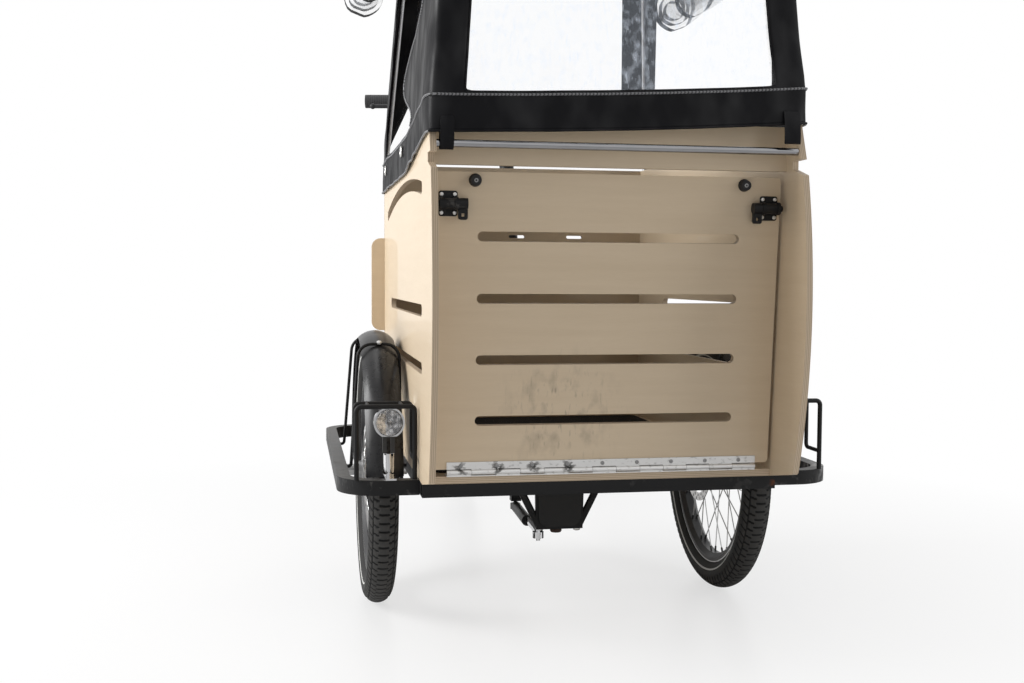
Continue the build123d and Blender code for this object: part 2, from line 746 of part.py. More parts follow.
# Side panels: bowed front edge with a hook notch below the rod, three long slots
arch = Edge.make_three_point_arc(*[(point["y"], PANEL_TOP_Z - point["drop"]) for point in ARCH_SLOT])
for side, sign in SIDES:
    with BuildPart() as panel:
        with BuildSketch(Plane.YZ.offset(sign * PANEL_INNER)):
            with BuildLine():
                foot = (PLATFORM_FRONT_Y, PLATFORM_TOP_Z)
                Line((BOX_BACK_Y, PLATFORM_TOP_Z), foot)
                tip, brow = (PANEL_TIP_Y, PANEL_TIP_Z), (PANEL_BROW_Y, PANEL_BROW_Z)
                Line(foot, tip)
                ThreePointArc(tip, (PANEL_BULGE_Y, PANEL_BULGE_Z), brow)
                Polyline(
                    brow,
                    (PANEL_NOTCH_Y, PANEL_BROW_Z + 2 * ROD_R),
                    (PANEL_NOTCH_Y, PANEL_NOTCH_Z),
                    (PANEL_HORN_Y, PANEL_NOTCH_Z),
                    (PANEL_CREST_Y, PANEL_TOP_Z),
                    (BOX_BACK_Y, PANEL_TOP_Z),
                    (BOX_BACK_Y, PLATFORM_TOP_Z),
                )
            make_face()
            fillet(vertices().sort_by_distance(tip)[0], PANEL_TIP_R)
            for slot in SIDE_SLOTS:
                with Locations(((SIDE_SLOT_FRONT_Y + slot["end_y"]) / 2, slot["z"])):
                    SlotOverall(slot["end_y"] - SIDE_SLOT_FRONT_Y, slot["height"], mode=Mode.SUBTRACT)
            SlotArc(arch, ARCH_SLOT_H, mode=Mode.SUBTRACT)
        extrude(amount=sign * PLY)
    save(panel.part, f"side_panel_{side}")

# Back board: its ears stand out past the side panels
with BuildPart() as back:
    with BuildSketch(Plane.XZ.offset(-BOX_BACK_Y)):
        with Locations((0, (PLATFORM_TOP_Z + PANEL_TOP_Z) / 2)):
            Rectangle(2 * PLATFORM_HALF_W, PANEL_TOP_Z - PLATFORM_TOP_Z)
        with Locations((0, PANEL_TOP_Z - BACK_EAR_DROP - BACK_EAR_H / 2)):
            RectangleRounded(2 * BACK_EAR_HALF_W, BACK_EAR_H, BACK_EAR_R)
        with Locations(*[(x, BELT_SLOT_Z) for x in BELT_SLOTS_X]):
            SlotOverall(BELT_SLOT_L, BELT_SLOT_H, mode=Mode.SUBTRACT)
    extrude(amount=-BACK_T)
save(back.part, "back_board")

# Rail above the door and the round bar in front of it
with BuildPart() as rail:
    rail_low = DOOR_TOP_Z + RAIL_GAP
    with Locations((0, RAIL_FRONT_Y + DOOR_T / 2, rail_low)):
        Box(2 * PANEL_INNER, DOOR_T, PANEL_TOP_Z - rail_low, align=ON_BASE)
save(rail.part, "front_rail")

with BuildPart() as cross_rod:
    with Locations(Plane(origin=(0, ROD_Y, ROD_Z), z_dir=(1, 0, 0))):
        Cylinder(ROD_R, 2 * PANEL_INNER)
save(cross_rod.part, "cross_rod")

# Ramp door on a long knuckle hinge: door_plane is its outer face, with y up along the door
hinge_y = PLATFORM_FRONT_Y - HINGE_R
lean = math.radians(DOOR_LEAN)
up = Vector(0, -math.sin(lean), math.cos(lean))
out = Vector(0, -math.cos(lean), -math.sin(lean))
door_plane = Plane(origin=(0, hinge_y + HINGE_R / 2, HINGE_Z), x_dir=(1, 0, 0), z_dir=out)
door_low, door_high = HINGE_R + HINGE_DOOR_GAP, (DOOR_TOP_Z - HINGE_Z) / math.cos(lean)
with BuildPart() as door:
    with BuildSketch(door_plane):
        with Locations((0, (door_low + door_high) / 2)):
            RectangleRounded(2 * DOOR_HALF_W, door_high - door_low, DOOR_CORNER_R)
        slot_heights = [DOOR_TOP_Z - DOOR_SLOT_DROP - k * DOOR_SLOT_PITCH for k in range(DOOR_SLOTS)]
        with Locations(*[(0, (z - HINGE_Z) / math.cos(lean)) for z in slot_heights]):
            SlotOverall(DOOR_SLOT_LENGTH, DOOR_SLOT_H, mode=Mode.SUBTRACT)
    extrude(amount=-DOOR_T)
save(door.part, "door_panel")

pitch = HINGE_LENGTH / HINGE_KNUCKLES
knuckle = pitch - HINGE_KNUCKLE_GAP
places = [(index - (HINGE_KNUCKLES - 1) / 2) * pitch for index in range(HINGE_KNUCKLES)]
with BuildPart() as door_hinge:
    with BuildSketch(door_plane):
        with Locations((0, door_low + HINGE_LEAF_H / 2)):
            Rectangle(HINGE_LENGTH, HINGE_LEAF_H)
        with Locations(*[(x, 0) for x in places[1::2]]):
            Rectangle(knuckle, door_low + HINGE_LEAF_H, align=(Align.CENTER, Align.MIN))
    extrude(amount=HINGE_LEAF_T)
    with Locations(*[Plane(origin=(x, hinge_y, HINGE_Z), z_dir=(1, 0, 0)) for x in places[1::2]]):
        Cylinder(HINGE_R, knuckle)
        Cylinder(HINGE_PIN_R + RUN_GAP, knuckle, mode=Mode.SUBTRACT)
save(door_hinge.part, "door_hinge")

with BuildPart() as hinge_leaf:
    leaf_l = 2 * DOOR_T
    with Locations((0, hinge_y + leaf_l / 2, FLOOR_TOP_Z)):
        Box(HINGE_LENGTH, leaf_l, HINGE_LEAF_T, align=ON_BASE)
    with Locations(*[Plane(origin=(x, hinge_y, HINGE_Z), z_dir=(1, 0, 0)) for x in places[0::2]]):
        Cylinder(HINGE_R, knuckle)
    with Locations(*[(x, hinge_y, FLOOR_TOP_Z) for x in places[0::2]]):
        Box(knuckle, HINGE_LEAF_T, HINGE_Z - FLOOR_TOP_Z, align=ON_BASE)
    with Locations(Plane(origin=(0, hinge_y, HINGE_Z), z_dir=(1, 0, 0))):
        Cylinder(HINGE_PIN_R, HINGE_LENGTH - HINGE_KNUCKLE_GAP)
save(hinge_leaf.part, "hinge_leaf")

# Latches: a plate, a round housing with two collars, the bolt and a grip that hangs at its inner end
with BuildPart() as latches:
    latch_y = (LATCH_Z - HINGE_Z) / math.cos(lean)
    latch_x = DOOR_HALF_W - LATCH_EDGE_GAP - LATCH_W / 2
    body_l = LATCH_W + LATCH_GRIP_W
    for sign in (-1, 1):
        with BuildSketch(door_plane):
            with Locations((sign * latch_x, latch_y)):
                RectangleRounded(LATCH_W, LATCH_H, LATCH_CORNER_R)
        extrude(amount=HINGE_LEAF_T)
        inner_x = latch_x + LATCH_W / 2 - body_l
        rounds = (
            (inner_x, body_l, LATCH_BODY_R),
            (latch_x - LATCH_W / 2, LATCH_COLLAR_W, LATCH_BODY_R + LATCH_COLLAR),
            (latch_x + LATCH_W / 2 - LATCH_COLLAR_W, LATCH_COLLAR_W, LATCH_BODY_R + LATCH_COLLAR),
            (inner_x, DOOR_HALF_W - inner_x, BOLT_R),
        )
        for x, length, radius in rounds:
            axis_z = LATCH_BODY_R + LATCH_COLLAR
            middle = door_plane.from_local_coords((sign * (x + length / 2), latch_y, axis_z))
            with Locations(Plane(origin=middle, z_dir=(1, 0, 0))):
                Cylinder(radius, length)
        grip_x = sign * (inner_x + LATCH_GRIP_W / 2)
        with BuildSketch(door_plane.offset(LATCH_BODY_R + LATCH_COLLAR - LATCH_GRIP_T / 2)):
            with Locations((grip_x, latch_y - LATCH_GRIP_DROP / 2)):
                RectangleRounded(LATCH_GRIP_W, LATCH_GRIP_DROP, LATCH_CORNER_R)
            with Locations((grip_x, latch_y - LATCH_GRIP_DROP + LATCH_GRIP_W / 2)):
                Rectangle(LATCH_GRIP_HOLE, LATCH_GRIP_HOLE, mode=Mode.SUBTRACT)
        extrude(amount=LATCH_GRIP_T)
save(latches.part, "door_latches")

with BuildPart() as bumpers:
    bumper_y = (BUMPER_Z - HINGE_Z) / math.cos(lean)
    with BuildSketch(door_plane):
        with Locations((-BUMPER_X, bumper_y), (BUMPER_X, bumper_y)):
            Circle(BUMPER_R)
    extrude(amount=BUMPER_H, taper=BUMPER_TAPER)
save(bumpers.part, "door_bumpers")

# Rain tent: poles on the box, cover with its openings, clear windows, rolled side windows


def tent_half_w(z):
    """Half the tent's width at a height above the skirt."""
    share = (z - SKIRT_TOP_Z) / (TENT_TOP_Z - SKIRT_TOP_Z)
    return TENT_HALF_W + (TENT_TOP_HALF_W - TENT_HALF_W) * share


def tent_form(inset, low):
    """The tent's outline seen from the side, cut to its outline seen from the front."""
    top = TENT_TOP_Z - inset
    with BuildPart() as form:
        with BuildSketch(Plane.YZ):
            with BuildLine():
                Polyline(
                    (TENT_FRONT_Y + inset, low),
                    (TENT_FRONT_Y + inset, SKIRT_TOP_Z),
                    (TENT_FRONT_TOP_Y + inset, top),
                    (TENT_REAR_TOP_Y - inset, top),
                    (TENT_REAR_Y - inset, SKIRT_TOP_Z),
                    (TENT_REAR_Y - inset, low),
                    close=True,
                )
            make_face()
            fillet(vertices().group_by(Axis.Y)[-1], TENT_EDGE_R - inset)
        extrude(amount=TENT_HALF_W, both=True)
        with BuildSketch(Plane.XZ):
            with BuildLine():
                wide, narrow = TENT_HALF_W - inset, TENT_TOP_HALF_W - inset
                right = ((-wide, low), (-wide, SKIRT_TOP_Z), (-narrow, top))
                Polyline(*right, *[(-x, z) for x, z in reversed(right)], close=True)
            make_face()
            fillet(vertices().group_by(Axis.Y)[-1], TENT_CORNER_R - inset)
        extrude(amount=abs(TENT_FRONT_Y) + abs(TENT_REAR_Y), both=True, mode=Mode.INTERSECT)
    return form.part


with BuildPart() as tent_shell:
    add(tent_form(0, TENT_BASE_Z))
    add(tent_form(TENT_T, TENT_BASE_Z - TENT_T), mode=Mode.SUBTRACT)

window_low, window_high = SKIRT_TOP_Z + TENT_SEAM, TENT_TOP_Z - WINDOW_TOP_MARGIN
with BuildPart() as window_form:
    with BuildSketch(Plane.XZ):
        with BuildLine():
            right = [(TENT_STRIP_W - tent_half_w(z), z) for z in (window_low, window_high)]
            Polyline(*right, *[(-x, z) for x, z in reversed(right)], close=True)
        make_face()
        fillet(vertices(), TENT_SEAM)
    extrude(amount=abs(TENT_FRONT_Y) + abs(TENT_REAR_Y), both=True)

with BuildPart() as door_form:
    with BuildSketch(Plane.YZ):
        with BuildLine():
            Polyline(
                (TENT_FRONT_Y + SIDE_GUSSET, window_low),
                (TENT_FRONT_TOP_Y + TENT_STRIP_W, window_high),
                (TENT_REAR_TOP_Y - TENT_STRIP_W, window_high),
                (TENT_REAR_Y - 2 * TENT_STRIP_W, window_low),
                close=True,
            )
        make_face()
        fillet(vertices(), TENT_STRIP_W)
    extrude(amount=2 * TENT_HALF_W, both=True)

with BuildPart() as tent_cover:
    add(tent_shell.part)
    add(window_form.part, mode=Mode.SUBTRACT)
    add(door_form.part, mode=Mode.SUBTRACT)
save(tent_cover.part, "tent_cover")

with BuildPart() as tent_windows:
    add(tent_shell.part)
    add(window_form.part, mode=Mode.INTERSECT)
save(tent_windows.part, "tent_windows")

with BuildPart() as tent_poles:
    pole_x = PANEL_INNER + PLY / 2
    top_x = TENT_TOP_HALF_W - TENT_T - TENT_POLE_INSET
    top_z = TENT_TOP_Z - TENT_T - TENT_POLE_INSET
    inset = TENT_T + TENT_POLE_INSET
    front_pole = (TENT_FRONT_Y + inset, TENT_FRONT_TOP_Y + inset)
    rear_pole = (BOX_BACK_Y - inset, TENT_REAR_TOP_Y - inset)
    for foot_y, top_y in (front_pole, rear_pole):
        right = ((-pole_x, foot_y, PANEL_TOP_Z), (-pole_x, foot_y, SKIRT_TOP_Z), (-top_x, top_y, top_z))
        add(rod((*right, *[(-x, y, z) for x, y, z in reversed(right)]), TENT_POLE_R, TENT_POLE_BENDS))
save(tent_poles.part, "tent_poles")

with BuildPart() as rolls:
    roll_z = window_high - WINDOW_ROLL_R
    roll_x = tent_half_w(roll_z) + WINDOW_ROLL_R + TENT_GAP
    roll_front = TENT_FRONT_TOP_Y + TENT_STRIP_W
    roll_rear = TENT_REAR_TOP_Y - TENT_STRIP_W
    with Locations(Plane(origin=(roll_x, (roll_front + roll_rear) / 2, roll_z), z_dir=(0, 1, 0))):
        Cylinder(WINDOW_ROLL_R, roll_rear - roll_front)
    mirror(about=Plane.YZ)
save(rolls.part, "side_window_rolls")

# Handlebar on a post behind the box, with grips and brake levers
bar_right = ((-BAR_HALF_W, BAR_Y + BAR_REACH, BAR_Z), (-BAR_MIDDLE, BAR_Y, BAR_Z))
bar_line = (*bar_right, *[(-x, y, z) for x, y, z in reversed(bar_right)])
bar_room = rod(bar_line, BAR_R + SEAT_GAP, POST_BEND_R)
save(rod(bar_line, BAR_R, POST_BEND_R), "handlebar")

with BuildPart() as post:
    post_y = PLATFORM_REAR_Y + POST_STANDOFF + POST_R
    add(rod(((0, post_y, POST_FOOT_Z), (0, post_y, POST_BEND_Z), (0, BAR_Y, BAR_Z)), POST_R, POST_BEND_R))
    clamp_heights = (POST_FOOT_Z + POST_CLAMP_H, POST_BEND_Z - 2 * POST_CLAMP_H)
    for z in clamp_heights:
        with BuildSketch(Plane.XY.offset(z - POST_CLAMP_H / 2)):
            with Locations((0, post_y)):
                Circle(POST_R + POST_CLAMP_WALL)
            with Locations((0, PLATFORM_REAR_Y + POST_FOOT_T / 2)):
                Rectangle(2 * POST_R, POST_FOOT_T)
            make_hull()
        extrude(amount=POST_CLAMP_H)
        with Locations((0, PLATFORM_REAR_Y, z)):
            Box(POST_FOOT_W, POST_FOOT_T, POST_FOOT_W, align=(Align.CENTER, Align.MIN, Align.CENTER))
    with Locations(Plane(origin=(0, BAR_Y, BAR_Z), z_dir=(1, 0, 0))):
        Cylinder(POST_R + POST_R / 4, 3 * POST_R)
    add(bar_room, mode=Mode.SUBTRACT)
save(post.part, "handlebar_post")

outward = Vector(BAR_HALF_W - BAR_MIDDLE, BAR_REACH, 0).normalized()
bar_end = Vector(BAR_HALF_W, BAR_Y + BAR_REACH, BAR_Z)
with BuildPart() as grips:
    add(rod((bar_end - outward * GRIP_LENGTH, bar_end), GRIP_R))
    add(bar_room, mode=Mode.SUBTRACT)
    mirror(about=Plane.YZ)
save(grips.part, "handle_grips")

with BuildPart() as levers:
    clamp = bar_end - outward * (GRIP_LENGTH + LEVER_CLAMP_W + LEVER_GAP)
    add(rod((clamp, clamp + outward * LEVER_CLAMP_W), GRIP_R))
    root = clamp + outward * (LEVER_CLAMP_W / 2)
    pivot = root + Vector(0, -LEVER_REACH, -GRIP_R)
    add(rod((root, pivot, pivot + outward * GRIP_LENGTH), LEVER_R, 2 * LEVER_R))
    with Locations(pivot + outward * GRIP_LENGTH):
        Sphere(LEVER_BALL_R)
    add(bar_room, mode=Mode.SUBTRACT)
    mirror(about=Plane.YZ)
save(levers.part, "brake_levers")

# Steering pivot: a bracket under the platform, braced to it, with the pin that the frame turns on
BRACKET_REAR_Y = PIVOT_Y + BRACKET_REAR
sleeve_low = BRACKET_BASE_Z + BRACKET_T + SLEEVE_GAP
sleeve_high = PLATFORM_BASE_Z - BRACKET_T - SLEEVE_GAP
with BuildPart() as bracket:
    with BuildSketch(Plane.YZ):
        with BuildLine():
            Polyline(
                (BRACKET_REAR_Y, PLATFORM_BASE_Z),
                (BRACKET_FRONT_Y, PLATFORM_BASE_Z),
                (BRACKET_FRONT_Y, BRACKET_BASE_Z),
                (BRACKET_REAR_Y, BRACKET_BASE_Z),
                (BRACKET_REAR_Y, BRACKET_BASE_Z + BRACKET_T),
                (BRACKET_FRONT_Y + BRACKET_T, BRACKET_BASE_Z + BRACKET_T),
                (BRACKET_FRONT_Y + BRACKET_T, PLATFORM_BASE_Z - BRACKET_T),
                (BRACKET_REAR_Y, PLATFORM_BASE_Z - BRACKET_T),
                close=True,
            )
        make_face()
    extrude(amount=BRACKET_HALF_W, both=True)
    low_half = BRACKET_HALF_W - BRACKET_TAPER
    with BuildSketch(Plane.XZ.offset(-BRACKET_REAR_Y)):
        with BuildLine():
            right = ((-BRACKET_HALF_W, PLATFORM_BASE_Z), (-low_half, BRACKET_BASE_Z))
            Polyline(*right, *[(-x, z) for x, z in reversed(right)], close=True)
        make_face()
    extrude(amount=BRACKET_REAR_Y - BRACKET_FRONT_Y, mode=Mode.INTERSECT)
    with BuildSketch(Plane.XZ.offset(-BRACKET_FRONT_Y)):
        with BuildLine():
            right = [
                (SHIELD_INSET - BRACKET_HALF_W, PLATFORM_BASE_Z),
                (SHIELD_INSET - low_half, BRACKET_BASE_Z + SHIELD_INSET),
            ]
            Polyline(*right, *[(-x, z) for x, z in reversed(right)], close=True)
        make_face()
        fillet(vertices().group_by(Axis.Y)[0], SHIELD_CORNER_R)
    extrude(amount=SHIELD_T)
    strut_y = BRACKET_FRONT_Y + STRUT_R
    strut_z = BRACKET_BASE_Z + BRACKET_T / 2
    for sign in (-1, 1):
        low = (sign * (low_half - STRUT_R), strut_y, strut_z)
        high = (sign * (BRACKET_HALF_W + STRUT_SPREAD), strut_y, PLATFORM_BASE_Z + PLATFORM_TUBE)
        add(rod((low, high), STRUT_R))
    with Locations((0, strut_y, PLATFORM_BASE_Z)):
        Box(4 * BRACKET_HALF_W + 4 * STRUT_SPREAD, 4 * STRUT_R, PLATFORM_TUBE + 4 * STRUT_R,
            align=ON_BASE, mode=Mode.SUBTRACT)
    with Locations((0, PIVOT_Y, PLATFORM_BASE_Z)):
        Cylinder(PIVOT_PIN_R + SEAT_GAP, 4 * BRACKET_BASE_Z, mode=Mode.SUBTRACT)
save(bracket.part, "steering_bracket")

with BuildPart() as pin:
    with BuildSketch(Plane.XY.offset(BRACKET_BASE_Z - PIN_HEAD_T)):
        with Locations((0, PIVOT_Y)):
            RegularPolygon(PIN_HEAD_R, 6)
    extrude(amount=PIN_HEAD_T)
    with Locations((0, PIVOT_Y, BRACKET_BASE_Z)):
        Cylinder(PIVOT_PIN_R, PLATFORM_BASE_Z - BRACKET_BASE_Z, align=ON_BASE)
save(pin.part, "steering_pin")

# Steering damper: its cylinder turns on a pin below the main tube, its rod ends under the bracket
stud = Vector(DAMPER_STUD_X, DAMPER_STUD_Y, DAMPER_Z)
damper_pin = Vector(DAMPER_PIN_X, DAMPER_PIN_Y, DAMPER_Z)
toward = (stud - damper_pin).normalized()
damper_plane = Plane(origin=damper_pin, x_dir=(0, 0, 1), z_dir=toward)
gland = DAMPER_EYE_R + DAMPER_BODY
with BuildPart() as damper_body:
    with Locations(damper_pin):
        Cylinder(DAMPER_EYE_R, DAMPER_EYE_H)
    with BuildSketch(damper_plane.offset(DAMPER_EYE_R / 2)):
        Circle(DAMPER_R)
    extrude(amount=gland - DAMPER_EYE_R / 2)
    with BuildSketch(damper_plane.offset(gland)):
        Circle(DAMPER_ROD_R + RUN_GAP)
    extrude(amount=2 * DAMPER_EYE_R - gland, mode=Mode.SUBTRACT)
    with Locations(damper_pin):
        Cylinder(DAMPER_PIN_R + RUN_GAP, 4 * DAMPER_R, mode=Mode.SUBTRACT)
save(damper_body.part, "damper_cylinder")

with BuildPart() as damper_rod:
    rod_start = gland - DAMPER_STROKE_ROOM
    with BuildSketch(damper_plane.offset(rod_start)):
        Circle(DAMPER_ROD_R)
    extrude(amount=(stud - damper_pin).length - rod_start)
    with Locations(stud):
        Cylinder(DAMPER_EYE_R, DAMPER_EYE_H)
    stud_h = 2 * (BRACKET_BASE_Z - STUD_GAP - DAMPER_Z)
    with Locations(stud):
        Cylinder(DAMPER_PIN_R, stud_h)
save(damper_rod.part, "damper_rod")

# Rear frame: one welded piece from the steering sleeve to the rear dropouts
seat_way = Vector(0, math.cos(math.radians(SEAT_ANGLE)), math.sin(math.radians(SEAT_ANGLE)))
bb = Vector(0, BB_Y, BB_Z)
seat_top = bb + seat_way * SEAT_TUBE_L
stay_bridge = bb + seat_way * (SEAT_TUBE_L - 2 * SEAT_TUBE_R)
with BuildPart() as frame:
    with Locations((0, PIVOT_Y, sleeve_low)):
        Cylinder(SLEEVE_R, sleeve_high - sleeve_low, align=ON_BASE)
    main_start = PIVOT_Y + (PIVOT_PIN_R + SLEEVE_R) / 2
    knee = Vector(0, MAIN_TUBE_KNEE_Y, MAIN_TUBE_Z)
    add(rod(((0, main_start, MAIN_TUBE_Z), knee, bb), MAIN_TUBE_R, MAIN_TUBE_BEND_R))
    add(rod((bb, seat_top), SEAT_TUBE_R))
    add(rod((seat_top - seat_way * SEAT_COLLAR_H, seat_top), SEAT_COLLAR_R))
    add(rod(((knee + bb) / 2, (bb + seat_top) / 2), BRACE_R))
    with Locations(Plane(origin=bb, z_dir=(1, 0, 0))):
        Cylinder(BB_R, 2 * BB_HALF)
    with Locations(Plane(origin=stay_bridge, z_dir=(1, 0, 0))):
        Cylinder(STAY_TUBE_R, 2 * SEAT_STAY_X)
    stay_x = DROPOUT_X + DROPOUT_T / 2
    stay_start_x = BB_HALF - STAY_TUBE_R
    for sign in (-1, 1):
        rear_end = Vector(sign * stay_x, REAR_AXLE_Y, REAR_Z)
        stay_start = Vector(sign * stay_start_x, BB_Y, BB_Z)
        add(rod((stay_start, rear_end - Vector(0, DROPOUT_R, 0)), STAY_TUBE_R))
        bridge_end = stay_bridge + Vector(sign * SEAT_STAY_X, 0, 0)
        add(rod((bridge_end, rear_end + Vector(0, -DROPOUT_R / 2, DROPOUT_R)), SEAT_STAY_R))
        with Locations(Plane(origin=rear_end, z_dir=(1, 0, 0))):
            Cylinder(DROPOUT_R + STAY_TUBE_R, DROPOUT_T)
    with Locations((DAMPER_PIN_X, DAMPER_PIN_Y, DAMPER_Z + DAMPER_EYE_H)):
        ear_h = MAIN_TUBE_Z - DAMPER_Z - DAMPER_EYE_H
        Box(2 * DAMPER_R, 2 * DAMPER_R, ear_h, align=ON_BASE)
    with Locations((DAMPER_PIN_X, DAMPER_PIN_Y, DAMPER_Z - DAMPER_EYE_H)):
        Cylinder(DAMPER_PIN_R, 3 * DAMPER_EYE_H, align=ON_BASE)
    with Locations((0, PIVOT_Y, sleeve_low)):
        Cylinder(PIVOT_PIN_R + RUN_GAP, 2 * sleeve_high, mode=Mode.SUBTRACT)
    with Locations(Plane(origin=bb, z_dir=(1, 0, 0))):
        Cylinder(SPINDLE_R + RUN_GAP, 4 * BB_HALF, mode=Mode.SUBTRACT)
    with Locations(Plane(origin=(0, REAR_AXLE_Y, REAR_Z), z_dir=(1, 0, 0))):
        Cylinder(REAR_AXLE_R + SEAT_GAP, 4 * DROPOUT_X, mode=Mode.SUBTRACT)
    with BuildSketch(Plane(origin=seat_top, z_dir=seat_way)):
        Circle(SEAT_POST_R + SEAT_GAP)
    extrude(amount=-SEAT_POST_SINK, mode=Mode.SUBTRACT)
save(frame.part, "rear_frame")

post_top = seat_top + seat_way * (SEAT_POST_L - SEAT_POST_SINK)
with BuildPart() as seat_post:
    add(rod((seat_top - seat_way * SEAT_POST_SINK, post_top + seat_way * SEAT_POST_R), SEAT_POST_R))
    with Locations((0, post_top.Y, post_top.Z)):
        above = 4 * SEAT_POST_R
        Box(2 * above, 2 * above, above, align=ON_BASE, mode=Mode.SUBTRACT)
    with Locations(Plane(origin=(0, post_top.Y, post_top.Z - SEAT_CLAMP_R), z_dir=(1, 0, 0))):
        Cylinder(SEAT_CLAMP_R, SEAT_CLAMP_W)
save(seat_post.part, "seat_post")

with BuildPart() as saddle:
    with BuildSketch(Plane.XY.offset(post_top.Z)):
        tail_r = SADDLE_W / 4
        tail_y = post_top.Y + SADDLE_L / 2 - tail_r
        with Locations((-tail_r, tail_y), (tail_r, tail_y)):
            Circle(tail_r)
        with Locations((0, post_top.Y - SADDLE_L / 2 + SADDLE_NOSE_R)):
            Circle(SADDLE_NOSE_R)
        make_hull()
    extrude(amount=SADDLE_T)
    fillet(edges().group_by(Axis.Z)[-1], SADDLE_EDGE_R)
save(saddle.part, "saddle")

# Rear wheel: tyre, rim, motor hub with its spokes and sprocket, on an axle in the dropouts
rear_centre = (0, REAR_AXLE_Y, REAR_Z)
save(tyre(rear_centre, REAR_WHEEL_R, REAR_TYRE_W, REAR_BEAD_R), "rear_tyre")
save(rim(rear_centre, REAR_BEAD_R), "rear_rim")
with BuildPart() as motor:
    bore = REAR_AXLE_R + RUN_GAP
    flange_low = MOTOR_FLANGE_X - FLANGE_T - MOTOR_FLANGE_LIP
    flange_high = MOTOR_FLANGE_X + MOTOR_FLANGE_LIP
    flange = (
        (flange_low, MOTOR_R),
        (flange_low, MOTOR_R + MOTOR_FLANGE_H),
        (flange_high, MOTOR_R + MOTOR_FLANGE_H),
        (flange_high, MOTOR_R),
    )
    add(turned((
        (CHAIN_X - COG_T / 2, bore),
        (CHAIN_X - COG_T / 2, SPROCKET_R),
        (CHAIN_X + COG_T / 2, SPROCKET_R),
        (CHAIN_X + COG_T / 2, MOTOR_R / 3),
        (MOTOR_RIGHT_X, MOTOR_R / 3),
        (MOTOR_RIGHT_X, MOTOR_R / 2),
        (MOTOR_RIGHT_X + MOTOR_SHOULDER, MOTOR_R),
        *[(-x, r) for x, r in reversed(flange)],
        *flange,
        (MOTOR_LEFT_X - MOTOR_SHOULDER, MOTOR_R),
        (MOTOR_LEFT_X, MOTOR_R / 2),
        (MOTOR_LEFT_X, bore),
    ), rear_centre))
    add(teeth(CHAIN_X, REAR_AXLE_Y, REAR_Z, SPROCKET_R, SPROCKET_TEETH))
    for x in (-MOTOR_FLANGE_X, FLANGE_T - MOTOR_FLANGE_X, MOTOR_FLANGE_X - FLANGE_T, MOTOR_FLANGE_X):
        turn = MOTOR_SPOKE_TURN if abs(x) == MOTOR_FLANGE_X else -MOTOR_SPOKE_TURN
        add(spoke_ring(rear_centre, x, MOTOR_R - FLANGE_T, REAR_BEAD_R - RIM_DEPTH + SPOKE_SEAT, turn))
save(motor.part, "hub_motor")

axle_half = DROPOUT_X + DROPOUT_T
with BuildPart() as rear_axle:
    add(turned((
        (-axle_half - NUT_T, 0),
        (-axle_half - NUT_T, NUT_R),
        (-axle_half, NUT_R),
        (-axle_half, REAR_AXLE_R),
        (axle_half, REAR_AXLE_R),
        (axle_half, NUT_R),
        (axle_half + NUT_T, NUT_R),
        (axle_half + NUT_T, 0),
    ), rear_centre))
save(rear_axle.part, "rear_axle")

# Chain drive: cranks with the chainring, pedals, chain loop and a guard outside it
crank_way = Vector(0, -math.cos(math.radians(CRANK_ANGLE)), math.sin(math.radians(CRANK_ANGLE)))
with BuildPart() as cranks:
    with Locations(Plane(origin=bb, z_dir=(1, 0, 0))):
        Cylinder(SPINDLE_R, 2 * CRANK_X)
    with BuildSketch(Plane.YZ.offset(CHAIN_X - COG_T / 2)):
        with Locations((BB_Y, BB_Z)):
            Circle(RING_R)
            with PolarLocations(RING_HOLE_CIRCLE_R, RING_HOLES):
                Circle(RING_HOLE_R, mode=Mode.SUBTRACT)
    extrude(amount=COG_T)
    add(teeth(CHAIN_X, BB_Y, BB_Z, RING_R, RING_TEETH))
    for sign in (-1, 1):
        arm = crank_way * (-sign * CRANK_L)
        with BuildSketch(Plane.YZ.offset(sign * CRANK_X - CRANK_T / 2)):
            with Locations((BB_Y, BB_Z)):
                Circle(CRANK_ROOT_R)
            with Locations((BB_Y + arm.Y, BB_Z + arm.Z)):
                Circle(CRANK_TIP_R)
            make_hull()
        extrude(amount=CRANK_T)
        pin_start = bb + arm + Vector(sign * CRANK_X, 0, 0)
        add(rod((pin_start, pin_start + Vector(sign * (CRANK_T + PEDAL_LENGTH), 0, 0)), PEDAL_PIN_R))
save(cranks.part, "crankset")

for side, sign in SIDES:
    centre = bb + crank_way * (-sign * CRANK_L)
    with BuildPart() as pedal:
        inner = CRANK_X + CRANK_T / 2 + PEDAL_GAP
        with BuildSketch(Plane.YZ.offset(sign * inner)):
            with Locations((centre.Y, centre.Z)):
                RectangleRounded(PEDAL_W, PEDAL_H, PEDAL_H / 4)
                Circle(PEDAL_PIN_R + RUN_GAP, mode=Mode.SUBTRACT)
        extrude(amount=sign * PEDAL_LENGTH)
        window_l = (PEDAL_LENGTH - (PEDAL_RIBS + 1) * PEDAL_WALL) / PEDAL_RIBS
        window_w = PEDAL_W / 2 - PEDAL_H / 2 - PEDAL_WALL
        with BuildSketch(Plane.XY.offset(centre.Z)):
            with Locations((sign * (inner + PEDAL_LENGTH / 2), centre.Y)):
                with GridLocations(window_l + PEDAL_WALL, PEDAL_H + window_w, PEDAL_RIBS, 2):
                    Rectangle(window_l, window_w)
        extrude(amount=PEDAL_H, both=True, mode=Mode.SUBTRACT)
    save(pedal.part, f"pedal_{side}")


def drive_hull(grow, width):
    """The outline round chainring and sprocket, grown by a margin, over a width in the chain's plane."""
    with BuildPart() as hull:
        with BuildSketch(Plane.YZ.offset(CHAIN_X - width / 2)):
            with Locations((BB_Y, BB_Z)):
                Circle(RING_R + grow)
            with Locations((REAR_AXLE_Y, REAR_Z)):
                Circle(SPROCKET_R + grow)
            make_hull()
        extrude(amount=width)
    return hull.part


